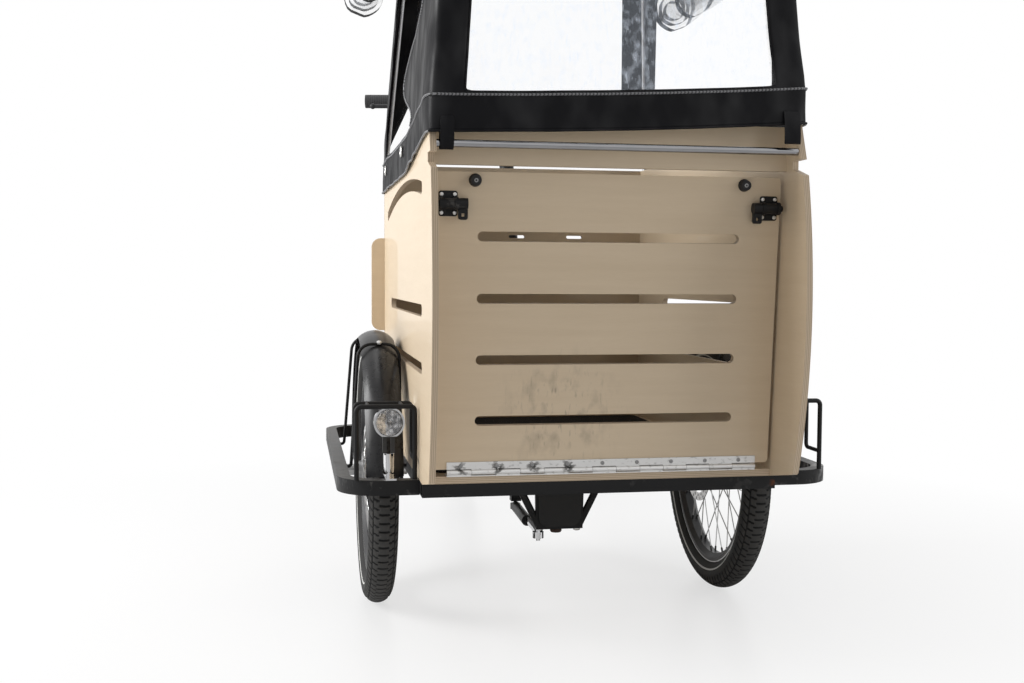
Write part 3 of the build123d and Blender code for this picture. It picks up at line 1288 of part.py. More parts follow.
with BuildPart() as chain:
    add(drive_hull(CHAIN_GAP + CHAIN_H, CHAIN_W))
    add(drive_hull(CHAIN_GAP, 2 * CHAIN_W), mode=Mode.SUBTRACT)
    add(drive_hull(CHAIN_GAP + CHAIN_GROOVE_H, CHAIN_GROOVE_W), mode=Mode.SUBTRACT)
save(chain.part, "chain")

with BuildPart() as chain_guard:
    guard_end = CHAIN_GUARD_END_Y + SPROCKET_R + CHAIN_H
    along = (guard_end - BB_Y) / (REAR_AXLE_Y - DROPOUT_R - BB_Y)
    guard_x = stay_start_x + (stay_x - stay_start_x) * along + STAY_TUBE_R + SEAT_GAP
    with BuildSketch(Plane.YZ.offset(-guard_x)):
        with Locations((BB_Y, BB_Z)):
            Circle(RING_R + CHAIN_H + PEDAL_GAP)
        with Locations((CHAIN_GUARD_END_Y, REAR_Z)):
            Circle(SPROCKET_R + CHAIN_H)
        make_hull()
        with Locations((BB_Y, BB_Z)):
            Circle(BB_R, mode=Mode.SUBTRACT)
    extrude(amount=-CHAIN_GUARD_T)
save(chain_guard.part, "chain_guard")

# Rear rack with the battery between its decks, mudguard and lamp
deck_z = RACK_Z
upper_z = deck_z + DECK_T + BATTERY_H + BATTERY_GAP
rack_l = RACK_REAR_Y - RACK_FRONT_Y
rack_y = (RACK_FRONT_Y + RACK_REAR_Y) / 2
with BuildPart() as rack:
    for sign in (-1, 1):
        x = sign * RACK_HALF_W
        add(rod(((x, RACK_FRONT_Y, RACK_Z), (x, RACK_REAR_Y, RACK_Z)), RACK_ROD_R))
        foot = (sign * (axle_half + RACK_LEG_R), REAR_AXLE_Y + RACK_FOOT_Y, REAR_Z + DROPOUT_R)
        knee = (foot[0], rack_y + RACK_FOOT_Y, RACK_Z - RACK_HALF_W)
        add(rod(((x, rack_y + RACK_FOOT_Y, RACK_Z), knee, foot), RACK_LEG_R, 2 * RACK_ROD_R))
        for y in (RACK_FRONT_Y + 2 * RACK_ROD_R, RACK_REAR_Y - 2 * RACK_ROD_R):
            add(rod(((x, y, RACK_Z), (x, y, upper_z)), RACK_ROD_R))
    add(rod(((0, stay_bridge.Y, RACK_Z), (0, RACK_FRONT_Y + DECK_T, RACK_Z)), RACK_ROD_R))
    add(rod((bb, seat_top), SEAT_TUBE_R + SEAT_GAP), mode=Mode.SUBTRACT)
    for z in (deck_z, upper_z):
        with Locations((0, rack_y, z)):
            Box(2 * (RACK_HALF_W + RACK_ROD_R), rack_l, DECK_T, align=ON_BASE)
    with BuildSketch(Plane.XY.offset(upper_z)):
        with Locations((0, rack_y)):
            with GridLocations(DECK_HOLES_X, DECK_HOLES_Y, 2, 2):
                Circle(DECK_HOLE_R)
    extrude(amount=DECK_T, mode=Mode.SUBTRACT)
save(rack.part, "rear_rack")

with BuildPart() as battery:
    with Locations((0, rack_y, deck_z + DECK_T)):
        Box(BATTERY_W, BATTERY_L, BATTERY_H, align=ON_BASE)
    fillet(edges().filter_by(Axis.Z), BATTERY_EDGE_R)
    fillet(edges().group_by(Axis.Z)[-1], BATTERY_TOP_R)
save(battery.part, "battery")

with BuildPart() as rear_guard:
    rear_guard_r = REAR_WHEEL_R + REAR_GUARD_GAP
    add(mudguard(rear_centre, rear_guard_r, MUDGUARD_W, REAR_GUARD_START, REAR_GUARD_SWEEP))
    for angle in REAR_STAY_ANGLES:
        along = Vector(0, -math.cos(math.radians(angle)), math.sin(math.radians(angle)))
        for sign in (-1, 1):
            lip_x = sign * (MUDGUARD_W / 2 - STAY_R / 2)
            lip = Vector(lip_x, REAR_AXLE_Y, REAR_Z) + along * (rear_guard_r - MUDGUARD_CROWN)
            hub = Vector(sign * (axle_half + STAY_R), REAR_AXLE_Y, REAR_Z)
            knee = hub + along * (DROPOUT_R + STAY_TUBE_R + 4 * STAY_R)
            add(rod((lip, knee, hub + along * DROPOUT_R), STAY_R, 2 * STAY_R))
save(rear_guard.part, "rear_mudguard")

with BuildPart() as rear_lamp:
    with BuildSketch(Plane.XZ.offset(-RACK_REAR_Y)):
        with Locations((0, upper_z + DECK_T - REAR_LAMP_H / 2)):
            SlotOverall(REAR_LAMP_W, REAR_LAMP_H)
    extrude(amount=-REAR_LAMP_T)
    fillet(edges().group_by(Axis.Y)[-1], REAR_LAMP_EDGE_R)
save(rear_lamp.part, "rear_lamp")
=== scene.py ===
import math
import bpy
from mathutils import Matrix, Vector, noise


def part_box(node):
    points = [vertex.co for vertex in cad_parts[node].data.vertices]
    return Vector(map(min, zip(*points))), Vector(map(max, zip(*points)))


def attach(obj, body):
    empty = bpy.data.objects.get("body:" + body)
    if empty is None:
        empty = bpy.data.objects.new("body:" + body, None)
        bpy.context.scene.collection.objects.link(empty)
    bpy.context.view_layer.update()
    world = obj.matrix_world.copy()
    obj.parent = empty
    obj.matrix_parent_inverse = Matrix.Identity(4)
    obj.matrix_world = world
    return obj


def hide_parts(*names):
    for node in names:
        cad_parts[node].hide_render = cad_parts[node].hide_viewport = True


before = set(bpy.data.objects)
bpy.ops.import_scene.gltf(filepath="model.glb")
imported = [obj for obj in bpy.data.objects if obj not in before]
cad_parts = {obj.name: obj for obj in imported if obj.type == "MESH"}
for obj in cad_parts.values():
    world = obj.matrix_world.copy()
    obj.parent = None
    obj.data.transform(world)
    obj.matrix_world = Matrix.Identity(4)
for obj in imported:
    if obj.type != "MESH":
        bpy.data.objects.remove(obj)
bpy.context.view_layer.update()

# Studio: a wide pale floor under a white surround. A large soft lamp stands high at the trike's
# right, a weaker one at its left, and a wide panel hangs overhead.


class Wire:
    """A value that runs through a node tree. Operators on it add Math nodes."""

    def __init__(self, tree, socket=None):
        self.tree = tree
        self.socket = socket

    def node(self, kind, settings, inputs, output=0):
        """Adds a node: its settings first, then the values or links of its sockets."""
        made = self.tree.nodes.new("ShaderNode" + kind)
        for name, value in settings.items():
            setattr(made, name, value)
        for name, value in inputs.items():
            if isinstance(value, Wire):
                self.tree.links.new(value.socket, made.inputs[name])
            else:
                made.inputs[name].default_value = value
        return Wire(self.tree, made.outputs[output] if made.outputs else None)

    def math(self, operation, first, second):
        return self.node("Math", {"operation": operation}, {0: first, 1: second})

    def vector(self, operation, other=(0, 0, 0), output=0):
        return self.node("VectorMath", {"operation": operation}, {0: self, 1: other}, output)

    def axis(self, number):
        return self.node("SeparateXYZ", {}, {"Vector": self}, number)

    def __add__(self, other):
        return self.math("ADD", self, other)

    def __radd__(self, other):
        return self.math("ADD", other, self)

    def __sub__(self, other):
        return self.math("SUBTRACT", self, other)

    def __rsub__(self, other):
        return self.math("SUBTRACT", other, self)

    def __mul__(self, other):
        return self.math("MULTIPLY", self, other)

    def __rmul__(self, other):
        return self.math("MULTIPLY", other, self)

    def __truediv__(self, other):
        return self.math("DIVIDE", self, other)

    def __pow__(self, other):
        return self.math("POWER", self, other)

    def __mod__(self, other):
        return self.math("FLOORED_MODULO", self, other)

    def __gt__(self, other):
        return self.math("GREATER_THAN", self, other)

    def __lt__(self, other):
        return self.math("LESS_THAN", self, other)

    def __abs__(self):
        return self.math("ABSOLUTE", self, 0)


AMBIENT = 0.31
LAMPS = (
    {"name": "key", "at": (-3.3, -0.45, 2.0), "size": 1.8, "watts": 128},
    {"name": "fill", "at": (2.7, -2.3, 1.3), "size": 1.4, "watts": 26},
    {"name": "top", "at": (0.2, 0.3, 4.2), "size": 3.2, "watts": 46},
)
LAMP_TARGET = Vector((0, -0.35, 0.6))
FLOOR_HALF = 14
FLOOR_WHITE = (0.82, 0.82, 0.82, 1)
FLOOR_GLOW = 0.66
FLOOR_FADE = (0.5, 1.7)
FLOOR_MIDDLE = (0, -0.2, 0)

scene = bpy.context.scene
scene.view_settings.view_transform = "Standard"
world = bpy.data.worlds.new("studio")
world.use_nodes = True
world.node_tree.nodes.clear()
air = Wire(world.node_tree)
seen = 0
for ray in ("Is Camera Ray", "Is Glossy Ray", "Is Transmission Ray"):
    seen = air.node("LightPath", {}, {}, ray) + seen
level = seen.math("MINIMUM", seen, 1) * (1 - AMBIENT) + AMBIENT
sky = air.node("Background", {}, {"Color": (1, 1, 1, 1), "Strength": level})
air.node("OutputWorld", {}, {"Surface": sky})
scene.world = world

for lamp in LAMPS:
    light = bpy.data.lights.new(lamp["name"], "AREA")
    light.energy = lamp["watts"]
    light.size = lamp["size"]
    holder = bpy.data.objects.new(lamp["name"], light)
    holder.location = lamp["at"]
    aim = LAMP_TARGET - holder.location
    holder.rotation_euler = aim.to_track_quat("-Z", "Y").to_euler()
    scene.collection.objects.link(holder)


def new_piece(name, points, faces, finish, smooth=True):
    """Makes an object from points in metres, in the trike's own frame, with its first material."""
    mesh = bpy.data.meshes.new(name)
    mesh.from_pydata([tuple(p) for p in points], [], [tuple(f) for f in faces])
    mesh.validate()
    mesh.update()
    mesh.shade_smooth() if smooth else mesh.shade_flat()
    mesh.materials.append(finish)
    piece = bpy.data.objects.new(name, mesh)
    scene.collection.objects.link(piece)
    return piece


def grid_faces(rows, columns, start=0, closed=False):
    """Faces between rows of points, so many in each row. A closed row runs back to its own start."""
    width = columns if closed else columns + 1
    faces = []
    for row in range(rows):
        for column in range(columns):
            a, b = (start + row * width + k % width for k in (column, column + 1))
            faces.append((a, b, b + width, a + width))
    return faces


def new_finish(name):
    """Starts a material. Gives it with the wire of a point's place on the piece, in metres."""
    made = bpy.data.materials.new(name)
    made.use_nodes = True
    made.node_tree.nodes.clear()
    return made, Wire(made.node_tree).node("TexCoord", {}, {}, "Object")


def coat(place, sockets):
    """Ends a material in one shader with these sockets."""
    shader = place.node("BsdfPrincipled", {}, sockets)
    place.node("OutputMaterial", {}, {"Surface": shader})


def grain(place, scale, stretch=(1, 1, 1), detail=3):
    """Noise from 0 to 1 over the piece, finer along the axes with a larger stretch."""
    spread = place.node("Mapping", {}, {"Vector": place, "Scale": stretch})
    return place.node("TexNoise", {}, {"Vector": spread, "Scale": scale, "Detail": detail})


def mixed(mask, low, high):
    """A colour from low to high as the mask goes from 0 to 1."""
    ends = {0: mask}
    for socket, colour in ((6, low), (7, high)):
        ends[socket] = colour if isinstance(colour, Wire) else (*colour, 1)
    settings = {"data_type": "RGBA", "clamp_factor": True}
    return mask.node("Mix", settings, ends, 2)


def ramped(value, low, high):
    """0 below low, 1 above high and even between them."""
    ends = {"Value": value, "From Min": low, "From Max": high}
    return value.node("MapRange", {"clamp": True}, ends)


def bumped(height, depth, strength=1.0):
    """A normal from a height of 0 to 1 that stands for a depth in metres."""
    return height.node("Bump", {}, {"Strength": strength, "Distance": depth, "Height": height})


floor_paint, place = new_finish("studio_floor")
camera_ray = place.node("LightPath", {}, {}, "Is Camera Ray")
matt = place.node("BsdfPrincipled", {}, {"Base Color": FLOOR_WHITE, "Roughness": 0.32})
white = place.node("Emission", {}, {"Color": (1, 1, 1, 1)})
spread = place.vector("DISTANCE", FLOOR_MIDDLE, "Value")
glow = ramped(spread, *FLOOR_FADE) * (1 - FLOOR_GLOW) + FLOOR_GLOW
mix = place.node("MixShader", {}, {0: camera_ray * glow, 1: matt, 2: white})
place.node("OutputMaterial", {}, {"Surface": mix})
corners = [(x * FLOOR_HALF, y * FLOOR_HALF, 0) for x, y in ((-1, -1), (1, -1), (1, 1), (-1, 1))]
floor = new_piece("studio_floor", corners, [(0, 1, 2, 3)], floor_paint, smooth=False)

# Camera: in front of the trike and a little to its right, at the height of the box. It looks
# slightly down and hardly tilts.
EYE = Vector((-0.5079, -2.861, 0.6341))
YAW, PITCH, ROLL = (math.radians(angle) for angle in (10.379, 3.102, -0.306))
LENS_MM = 42.28
ahead = Vector((math.sin(YAW) * math.cos(PITCH), math.cos(YAW) * math.cos(PITCH), -math.sin(PITCH)))
level_right = Vector((math.cos(YAW), -math.sin(YAW), 0))
level_down = ahead.cross(level_right)
image_right = level_right * math.cos(ROLL) + level_down * math.sin(ROLL)
image_up = level_right * math.sin(ROLL) - level_down * math.cos(ROLL)
camera_data = bpy.data.cameras.new("camera")
camera_data.sensor_fit = "HORIZONTAL"
camera_data.sensor_width = 36
camera_data.lens = LENS_MM
camera = bpy.data.objects.new("camera", camera_data)
turn = Matrix((image_right, image_up, -ahead)).transposed()
camera.matrix_world = Matrix.Translation(EYE) @ turn.to_4x4()
scene.collection.objects.link(camera)
scene.camera = camera

# Platform, hoops and lamp cages: welded steel tube in black powder coat. The hoops round the
# wheels take the knocks, so they are scuffed, and their upward faces are painted paler in
# patches, a painted highlight. The platform has one spot of rust.
COAT_BLACK = (0.0085, 0.0085, 0.009)
COAT_WORN = (0.1, 0.098, 0.095)


def paint(finish, *nodes):
    """Gives CAD nodes a material."""
    for node in nodes:
        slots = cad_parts[node].data.materials
        slots.clear()
        slots.append(finish)


def powder_coat(name, wear, rubbed=None):
    """Satin black with a fine orange peel. Wear is the share that is scuffed. Rubbed gives a bare place, and
    the paler tone of a painted highlight on the upward faces.
    """
    made, place = new_finish(name)
    peel = grain(place, 420, detail=2)
    cloud = grain(place, 14, detail=4)
    scratch = grain(place, 60, (1, 6, 1), 5)
    scuffs = ramped(scratch * cloud, 0.36 - 0.1 * wear, 0.42 - 0.1 * wear) * wear
    tone = mixed(scuffs, COAT_BLACK, COAT_WORN)
    if rubbed:
        # Painted highlight: upward faces are painted paler in patches, in the tone under the 'dust' key.
        upward_highlight = ramped(place.node("TexCoord", {}, {}, "Normal").axis(2), 0.3, 0.95)
        tone = mixed(upward_highlight * ramped(cloud, 0.25, 0.6), tone, rubbed["dust"])
        off = place.vector("DISTANCE", rubbed["at"], "Value")
        flaked = ramped(grain(place, 75, detail=5), 0.42, 0.6)
        bare = ramped(off, rubbed["reach"], 0.3 * rubbed["reach"]) * flaked
        tone = mixed(bare, tone, rubbed["tone"])
    coat(place, {
        "Base Color": tone,
        "Roughness": 0.36 + 0.16 * cloud + 0.2 * scuffs,
        "Specular IOR Level": 0.2,
        "Normal": bumped(peel, 0.00012, 0.6),
    })
    return made


frame_coat = powder_coat("black_powder_coat", 0.2)
# The 'dust' tone here paints a highlight on the hoops' upward faces.
HOOP_RUB = {"at": (0.43, -0.845, 0.286), "reach": 0.05, "tone": (0.4, 0.4, 0.4), "dust": (0.085, 0.083, 0.08)}
TUBE_RUST = {"at": (0.297, -0.938, 0.285), "reach": 0.007, "tone": (0.11, 0.035, 0.012), "dust": COAT_BLACK}
paint(powder_coat("rusted_powder_coat", 0.2, TUBE_RUST), "platform_frame")
paint(frame_coat, "lamp_cages", "damper_cylinder")
paint(powder_coat("scuffed_powder_coat", 0.7, HOOP_RUB), "wheel_hoops")

# Wheels: tyres with tread blocks in three ribs and a pale ring on the sidewall, dark rims with a
# bright machined edge, laced spokes with black nipples and a valve, and drilled steel brake discs.
FRONT = {"radius": 0.256, "width": 0.054, "bead": 0.205, "foot": 0.027,
         "flanges": ((0.025, 50), (0.022, -50))}
REAR = {"radius": 0.3, "width": 0.05, "bead": 0.253, "foot": 0.065,
        "flanges": ((0.028, 28), (0.025, -28))}
WHEELS = (
    {"name": "front_left", "body": "left_front_wheel", "tyre": "front_tyre_left", "rim": "front_rim_left",
     "disc": "brake_disc_left", "at": (0.349, -0.512, 0.256), **FRONT},
    {"name": "front_right", "body": "right_front_wheel", "tyre": "front_tyre_right", "rim": "front_rim_right",
     "disc": "brake_disc_right", "at": (-0.349, -0.512, 0.256), **FRONT},
    {"name": "rear", "body": "rear_wheel", "tyre": "rear_tyre", "rim": "rear_rim",
     "at": (0, 0.757, 0.3), **REAR},
)
TREAD_PITCH, TREAD_DEPTH, TREAD_STEPS = 0.0165, 0.0024, 9
TREAD_EDGE = math.radians(76)
RIB_EDGES, RIB_GROOVE, RIB_CUT = (0.27, 0.62), 0.03, 0.7
BLOCK_BEND, BLOCK_GAP = 0.8, 0.2
PROFILE_STEPS, BEAD_LAP = 52, 0.0002
RING_SHARE, RING_HALF = 0.28, 0.0016
TREAD_FADE = (0.018, 0.012)
GROOVE_SHADE_FADE = (0.0004, 0.0013)


def around(x, radius, angle):
    """A point at a distance from an axle that lies along X, turned by an angle from Y."""
    return Vector((x, radius * math.cos(angle), radius * math.sin(angle)))


def tread_depth(share, across):
    """How deep the tread is cut, 0 to 1, at a share of one pitch and a place across the tread."""
    side = abs(across)
    if side > 1:
        return 0
    if any(abs(side - edge) < RIB_GROOVE for edge in RIB_EDGES):
        return RIB_CUT
    band = sum(side > edge for edge in RIB_EDGES)
    shift = (share + BLOCK_BEND * side * side + 0.5 * (band == 1)) % 1
    return 1 if shift < BLOCK_GAP else 0


def from_axle(place, wheel):
    """A point's place from the middle of a wheel, and its distance from the axle."""
    hub = place.vector("SUBTRACT", wheel["at"])
    return hub, hub.vector("MULTIPLY", (0, 1, 1)).vector("LENGTH", output="Value")


def rubber(name, wheel):
    """Dark rubber, dusty on the tread, with a pale ring at one radius on the sidewall and painted shade down
    in the tread's grooves.
    """
    made, place = new_finish(name)
    hub, radius = from_axle(place, wheel)
    ring_r = wheel["bead"] + RING_SHARE * (wheel["radius"] - wheel["bead"])
    ring = abs(radius - ring_r) < RING_HALF
    dust = grain(place, 40, detail=5)
    half = wheel["width"] / 2
    tube = ((radius - (wheel["radius"] - half)) ** 2 + hub.axis(0) ** 2) ** 0.5
    # Painted shade: the bottoms of the tread's grooves are painted darker than the rubber.
    groove = ramped(tube, *(half - inset for inset in GROOVE_SHADE_FADE))
    tread = ramped(radius, *(wheel["radius"] - inset for inset in TREAD_FADE))
    tone = mixed(dust * 0.45 + tread * 0.45, (0.012, 0.012, 0.012), (0.06, 0.058, 0.055))
    tone = mixed(groove, tone, (0.004, 0.004, 0.004))
    coat(place, {
        "Base Color": mixed(ring, tone, (0.5, 0.5, 0.48)),
        "Roughness": 0.62 + 0.2 * dust - 0.3 * ring,
        "Specular IOR Level": 0.3,
        "Normal": bumped(grain(place, 700), 0.0002, 0.5),
    })
    return made


for wheel in WHEELS:
    centre = Vector(wheel["at"])
    round_r = wheel["width"] / 2
    axis_r = wheel["radius"] - round_r
    bead_angle = math.acos((wheel["bead"] + BEAD_LAP - axis_r) / round_r)
    pitches = round(2 * math.pi * wheel["radius"] / TREAD_PITCH)
    turns = pitches * TREAD_STEPS
    points = []
    for step in range(turns):
        angle = 2 * math.pi * step / turns
        share = (step % TREAD_STEPS) / TREAD_STEPS
        for k in range(PROFILE_STEPS + 1):
            slope = bead_angle * (2 * k / PROFILE_STEPS - 1)
            reach = round_r - TREAD_DEPTH * tread_depth(share, slope / TREAD_EDGE)
            points.append(centre + around(reach * math.sin(slope), axis_r + reach * math.cos(slope), angle))
    row = PROFILE_STEPS + 1
    faces = []
    for step in range(turns):
        here, there = step * row, (step + 1) % turns * row
        for k in range(PROFILE_STEPS):
            faces.append((here + k, here + k + 1, there + k + 1, there + k))
        faces.append((here + PROFILE_STEPS, here, there, there + PROFILE_STEPS))
    piece = new_piece(wheel["tyre"] + "_treaded", points, faces, rubber(wheel["name"] + "_rubber", wheel))
    piece.data.set_sharp_from_angle(angle=math.radians(38))
    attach(piece, wheel["body"])
    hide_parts(wheel["tyre"])


def wheel_metal(name, wheel, dark, bright, edge):
    """Metal of a wheel, dark up to a radius and machined bright beyond it."""
    made, place = new_finish(name)
    line = from_axle(place, wheel)[1] > edge
    cloud = grain(place, 30, detail=4)
    coat(place, {
        "Base Color": mixed(line, mixed(cloud, dark, [1.6 * c for c in dark]), bright),
        "Metallic": 0.2 + 0.75 * line,
        "Roughness": 0.3 + 0.15 * cloud,
        "Normal": bumped(grain(place, 500), 0.0001, 0.4),
    })
    return made


def steel(name, tone, roughness):
    """Bare metal with fine brush marks and a few dull clouds."""
    made, place = new_finish(name)
    cloud = grain(place, 22, detail=4)
    brush = grain(place, 260, (1, 1, 8), 2)
    coat(place, {
        "Base Color": mixed(cloud, [0.8 * c for c in tone], tone),
        "Metallic": 1.0,
        "Roughness": roughness + 0.15 * cloud + 0.08 * brush,
        "Normal": bumped(brush, 0.00008, 0.4),
    })
    return made


spoke_steel = steel("spoke_steel", (0.5, 0.5, 0.5), 0.22)
DISC_RINGS = ((0.0685, 24, 0.0), (0.0755, 24, 0.5))
DISC_HOLE_R = 0.0029
RIM_DARK, RIM_BRIGHT, RIM_LINE = (0.018, 0.018, 0.019), (0.6, 0.6, 0.6), 0.0022


def drilled_disc(name, wheel):
    """Ground steel with rings of holes through the brake track."""
    made, place = new_finish(name)
    hub, radius = from_axle(place, wheel)
    turn = hub.math("ARCTAN2", hub.axis(2), hub.axis(1))
    solid = 1
    for ring_r, count, offset in DISC_RINGS:
        step = 2 * math.pi / count
        aside = (((turn / step + offset) % 1) - 0.5) * step * ring_r
        off = radius - ring_r
        solid = ((aside * aside + off * off) > DISC_HOLE_R ** 2) * solid
    marks = ((radius * 900) % 1) * 0.5 + grain(place, 30, detail=4) * 0.5
    coat(place, {
        "Base Color": mixed(marks, (0.48, 0.475, 0.465), (0.64, 0.63, 0.62)),
        "Metallic": 1.0,
        "Roughness": 0.22 + 0.14 * marks,
        "Alpha": solid,
        "Normal": bumped(marks, 0.00008, 0.4),
    })
    return made


for wheel in WHEELS:
    bright_from = wheel["bead"] - RIM_LINE
    paint(wheel_metal(wheel["rim"] + "_metal", wheel, RIM_DARK, RIM_BRIGHT, bright_from), wheel["rim"])
paint(spoke_steel, "front_hub_left", "front_hub_right", "front_axles", "rear_axle")
for wheel in WHEELS[:2]:
    paint(drilled_disc(wheel["disc"] + "_steel", wheel), wheel["disc"])

SPOKES_PER_RING = 9
NIPPLE_LENGTH, NIPPLE_R, NIPPLE_X, NIPPLE_INSET = 0.013, 0.0021, 0.004, 0.015
NIPPLE_SHAPE = ((0, 0.7 * NIPPLE_R), (0.12, NIPPLE_R), (0.75, NIPPLE_R), (1, 1.3 * NIPPLE_R))
VALVE_R, VALVE_ANGLE, VALVE_ENDS = 0.0032, math.radians(96), (0.048, 0.016)
VALVE_STEPS = ((0, 0.6), (0.08, 0.8), (0.4, 0.8), (0.42, 1), (1, 1.2))
VALVE_SHAPE = [(share, scale * VALVE_R) for share, scale in VALVE_STEPS]
nipple_black, place = new_finish("nipple_black")
tarnish = grain(place, 300, detail=3)
coat(place, {
    "Base Color": mixed(tarnish, (0.012, 0.012, 0.012), (0.03, 0.03, 0.031)),
    "Metallic": 0.3,
    "Roughness": 0.35 + 0.2 * tarnish,
    "Specular IOR Level": 0.3,
})


def add_peg(points, faces, foot, tip, profile, sides=8):
    """Adds a turned peg from foot to tip. The profile lists (share along, radius)."""
    along = (tip - foot).normalized()
    side = along.orthogonal().normalized()
    other = along.cross(side)
    start = len(points)
    for share, radius in profile:
        for k in range(sides):
            angle = 2 * math.pi * k / sides
            spoke = side * math.cos(angle) + other * math.sin(angle)
            points.append(foot.lerp(tip, share) + spoke * radius)
    faces += grid_faces(len(profile) - 1, sides, start, closed=True)
    faces.append([start + k for k in reversed(range(sides))])
    faces.append([start + (len(profile) - 1) * sides + k for k in range(sides)])


for wheel in WHEELS:
    centre = Vector(wheel["at"])
    points, faces = [], []
    for side in (-1, 1):
        for flange_x, lead in wheel["flanges"]:
            for k in range(SPOKES_PER_RING):
                first = 2 * math.pi * k / SPOKES_PER_RING
                last = first + math.radians(lead)
                foot = around(side * flange_x, wheel["foot"], first)
                tip = around(side * NIPPLE_X, wheel["bead"] - NIPPLE_INSET, last)
                start = tip + (foot - tip).normalized() * NIPPLE_LENGTH
                add_peg(points, faces, centre + start, centre + tip, NIPPLE_SHAPE)
    ends = [centre + around(0, wheel["bead"] - inset, VALVE_ANGLE) for inset in VALVE_ENDS]
    add_peg(points, faces, *ends, VALVE_SHAPE, 10)
    nipples = new_piece(wheel["name"] + "_nipples", points, faces, nipple_black)
    nipples.data.set_sharp_from_angle(angle=math.radians(40))
    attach(nipples, wheel["body"])

# Plywood box: birch boards under clear lacquer, with the pale and dark layers open at the edges.
# The door is smudged where feet step in, low down and right of the middle.
BIRCH_PALE = (0.67, 0.545, 0.39)
BIRCH_DARK = (0.57, 0.445, 0.3)
EDGE_PALE = (0.58, 0.465, 0.335)
EDGE_DARK = (0.42, 0.32, 0.22)
LAYER_T = 0.0029


def birch(name, along, through, smudge=None):
    """Birch ply with its grain along one axis and its layers stacked through another."""
    made, place = new_finish(name)
    stretch = [9 - 8.4 * abs(component) for component in along]
    streak = grain(place, 9, stretch, 6)
    fine = grain(place, 90, stretch, 4)
    cloud = grain(place, 3.2, detail=4)
    tone = mixed(streak * 0.7 + fine * 0.35 + cloud * 0.3 - 0.3, BIRCH_PALE, BIRCH_DARK)
    facing = place.node("TexCoord", {}, {}, "Normal")
    edge = abs(facing.vector("DOT_PRODUCT", through, "Value")) < 0.6
    layer = ((place.vector("DOT_PRODUCT", through, "Value") / LAYER_T) % 1) > 0.5
    tone = mixed(edge, tone, mixed(layer, EDGE_PALE, EDGE_DARK))
    rough = 0.42 + 0.14 * fine + 0.1 * edge
    if smudge:
        off = place.vector("DISTANCE", smudge["at"], "Value")
        near = ramped(off, smudge["reach"], 0.1 * smudge["reach"])
        marks = ramped(grain(place, 46, (1, 1, 0.6), 6), 0.5, 0.7) * near
        lines = ramped(grain(place, 150, (1.4, 1, 0.3), 3), 0.6, 0.7) * near
        tone = mixed(marks * 0.5 + lines * 0.4, tone, (0.12, 0.095, 0.07))
        rough = rough + 0.15 * marks
    coat(place, {
        "Base Color": tone,
        "Roughness": rough,
        "Coat Weight": 0.25 - 0.2 * edge,
        "Normal": bumped(fine * 0.6 + edge * layer * 0.4, 0.00022, 0.5),
    })
    return made


paint(birch("birch_sides", (0, 1, 0), (1, 0, 0)), "side_panel_left", "side_panel_right")
paint(birch("birch_cross", (1, 0, 0), (0, 1, 0)), "back_board", "front_rail")
paint(birch("birch_floor", (1, 0, 0), (0, 0, 1)), "floor_board")
DOOR_LEAN = math.radians(4.6)
door_out = (0, -math.cos(DOOR_LEAN), -math.sin(DOOR_LEAN))
FOOT_MARKS = {"at": (-0.075, -0.955, 0.412), "reach": 0.12}
paint(birch("birch_door", (1, 0, 0), door_out, FOOT_MARKS), "door_panel")

# Mudguards and their wire stays: pressed sheet in gloss black, held by bent steel wire that
# crosses over the crown, with a bright bolt at each crossing.
GUARD_BLACK = (0.012, 0.012, 0.013)
STAY_BOLT_R = 0.276
STAY_ANGLES = (66, 114)


def gloss_black(name):
    """Gloss enamel with a film of dust on it."""
    made, place = new_finish(name)
    dust = grain(place, 26, detail=6)
    film = ramped(dust, 0.45, 0.8)
    coat(place, {
        "Base Color": mixed(film * 0.16, GUARD_BLACK, (0.09, 0.088, 0.085)),
        "Roughness": 0.27 + 0.15 * film,
        "Specular IOR Level": 0.3,
        "Normal": bumped(dust, 0.0003, 0.2),
    })
    return made


paint(gloss_black("gloss_black_sheet"), "front_mudguards", "rear_mudguard")
paint(frame_coat, "mudguard_stays")


def screws(name, places, radius, height, sides, body, finish, socket=0.0):
    """Screw or bolt heads in one piece: each place is (point, outward axis)."""
    points, faces = [], []
    rings = ((1, 0), (1, 0.55), (0.86, 0.9), (0.6, 1.0), (socket, 1.0), (socket * 0.9, 0.35))
    profile = [(rise, radius * scale) for scale, rise in rings]
    for point, axis in places:
        add_peg(points, faces, point, point + Vector(axis).normalized() * height, profile, sides)
    piece = new_piece(name, points, faces, finish, smooth=False)
    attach(piece, body)


bolt_steel = steel("bolt_steel", (0.66, 0.65, 0.63), 0.2)
stay_bolts = []
for wheel in WHEELS[:2]:
    for angle in STAY_ANGLES:
        out = around(0, 1, math.pi - math.radians(angle))
        stay_bolts.append((Vector(wheel["at"]) + out * STAY_BOLT_R, out))
screws("mudguard_bolts", stay_bolts, 0.005, 0.005, 6, "carriage", bolt_steel)

# Head lamps: chromed shells on posts with a dark fork, and a ribbed lens over a faceted mirror
# with a bulb's cap in its middle.
LAMP_AT = (0.349, -0.862, 0.389)
FORK_LOW, FORK_HIGH = 0.3362, 0.366
MIRROR_R, MIRROR_SET, MIRROR_FACETS = 0.0215, 0.0047, 14
MIRROR_RINGS = ((0.33, 0.0), (0.66, -0.0012), (1.0, -0.0035))
BULB_SHAPE, BULB_ENDS = ((0, 0.004), (0.7, 0.004), (1, 0.0025)), (0.0005, -0.0028)


def chrome(name, tone=(0.62, 0.62, 0.63)):
    """Bright plating with faint smears."""
    made, place = new_finish(name)
    smear = grain(place, 45, (1, 1, 3), 5)
    coat(place, {
        "Base Color": mixed(smear, [0.8 * c for c in tone], tone),
        "Metallic": 1.0,
        "Roughness": 0.05 + 0.16 * ramped(smear, 0.5, 0.8),
    })
    return made


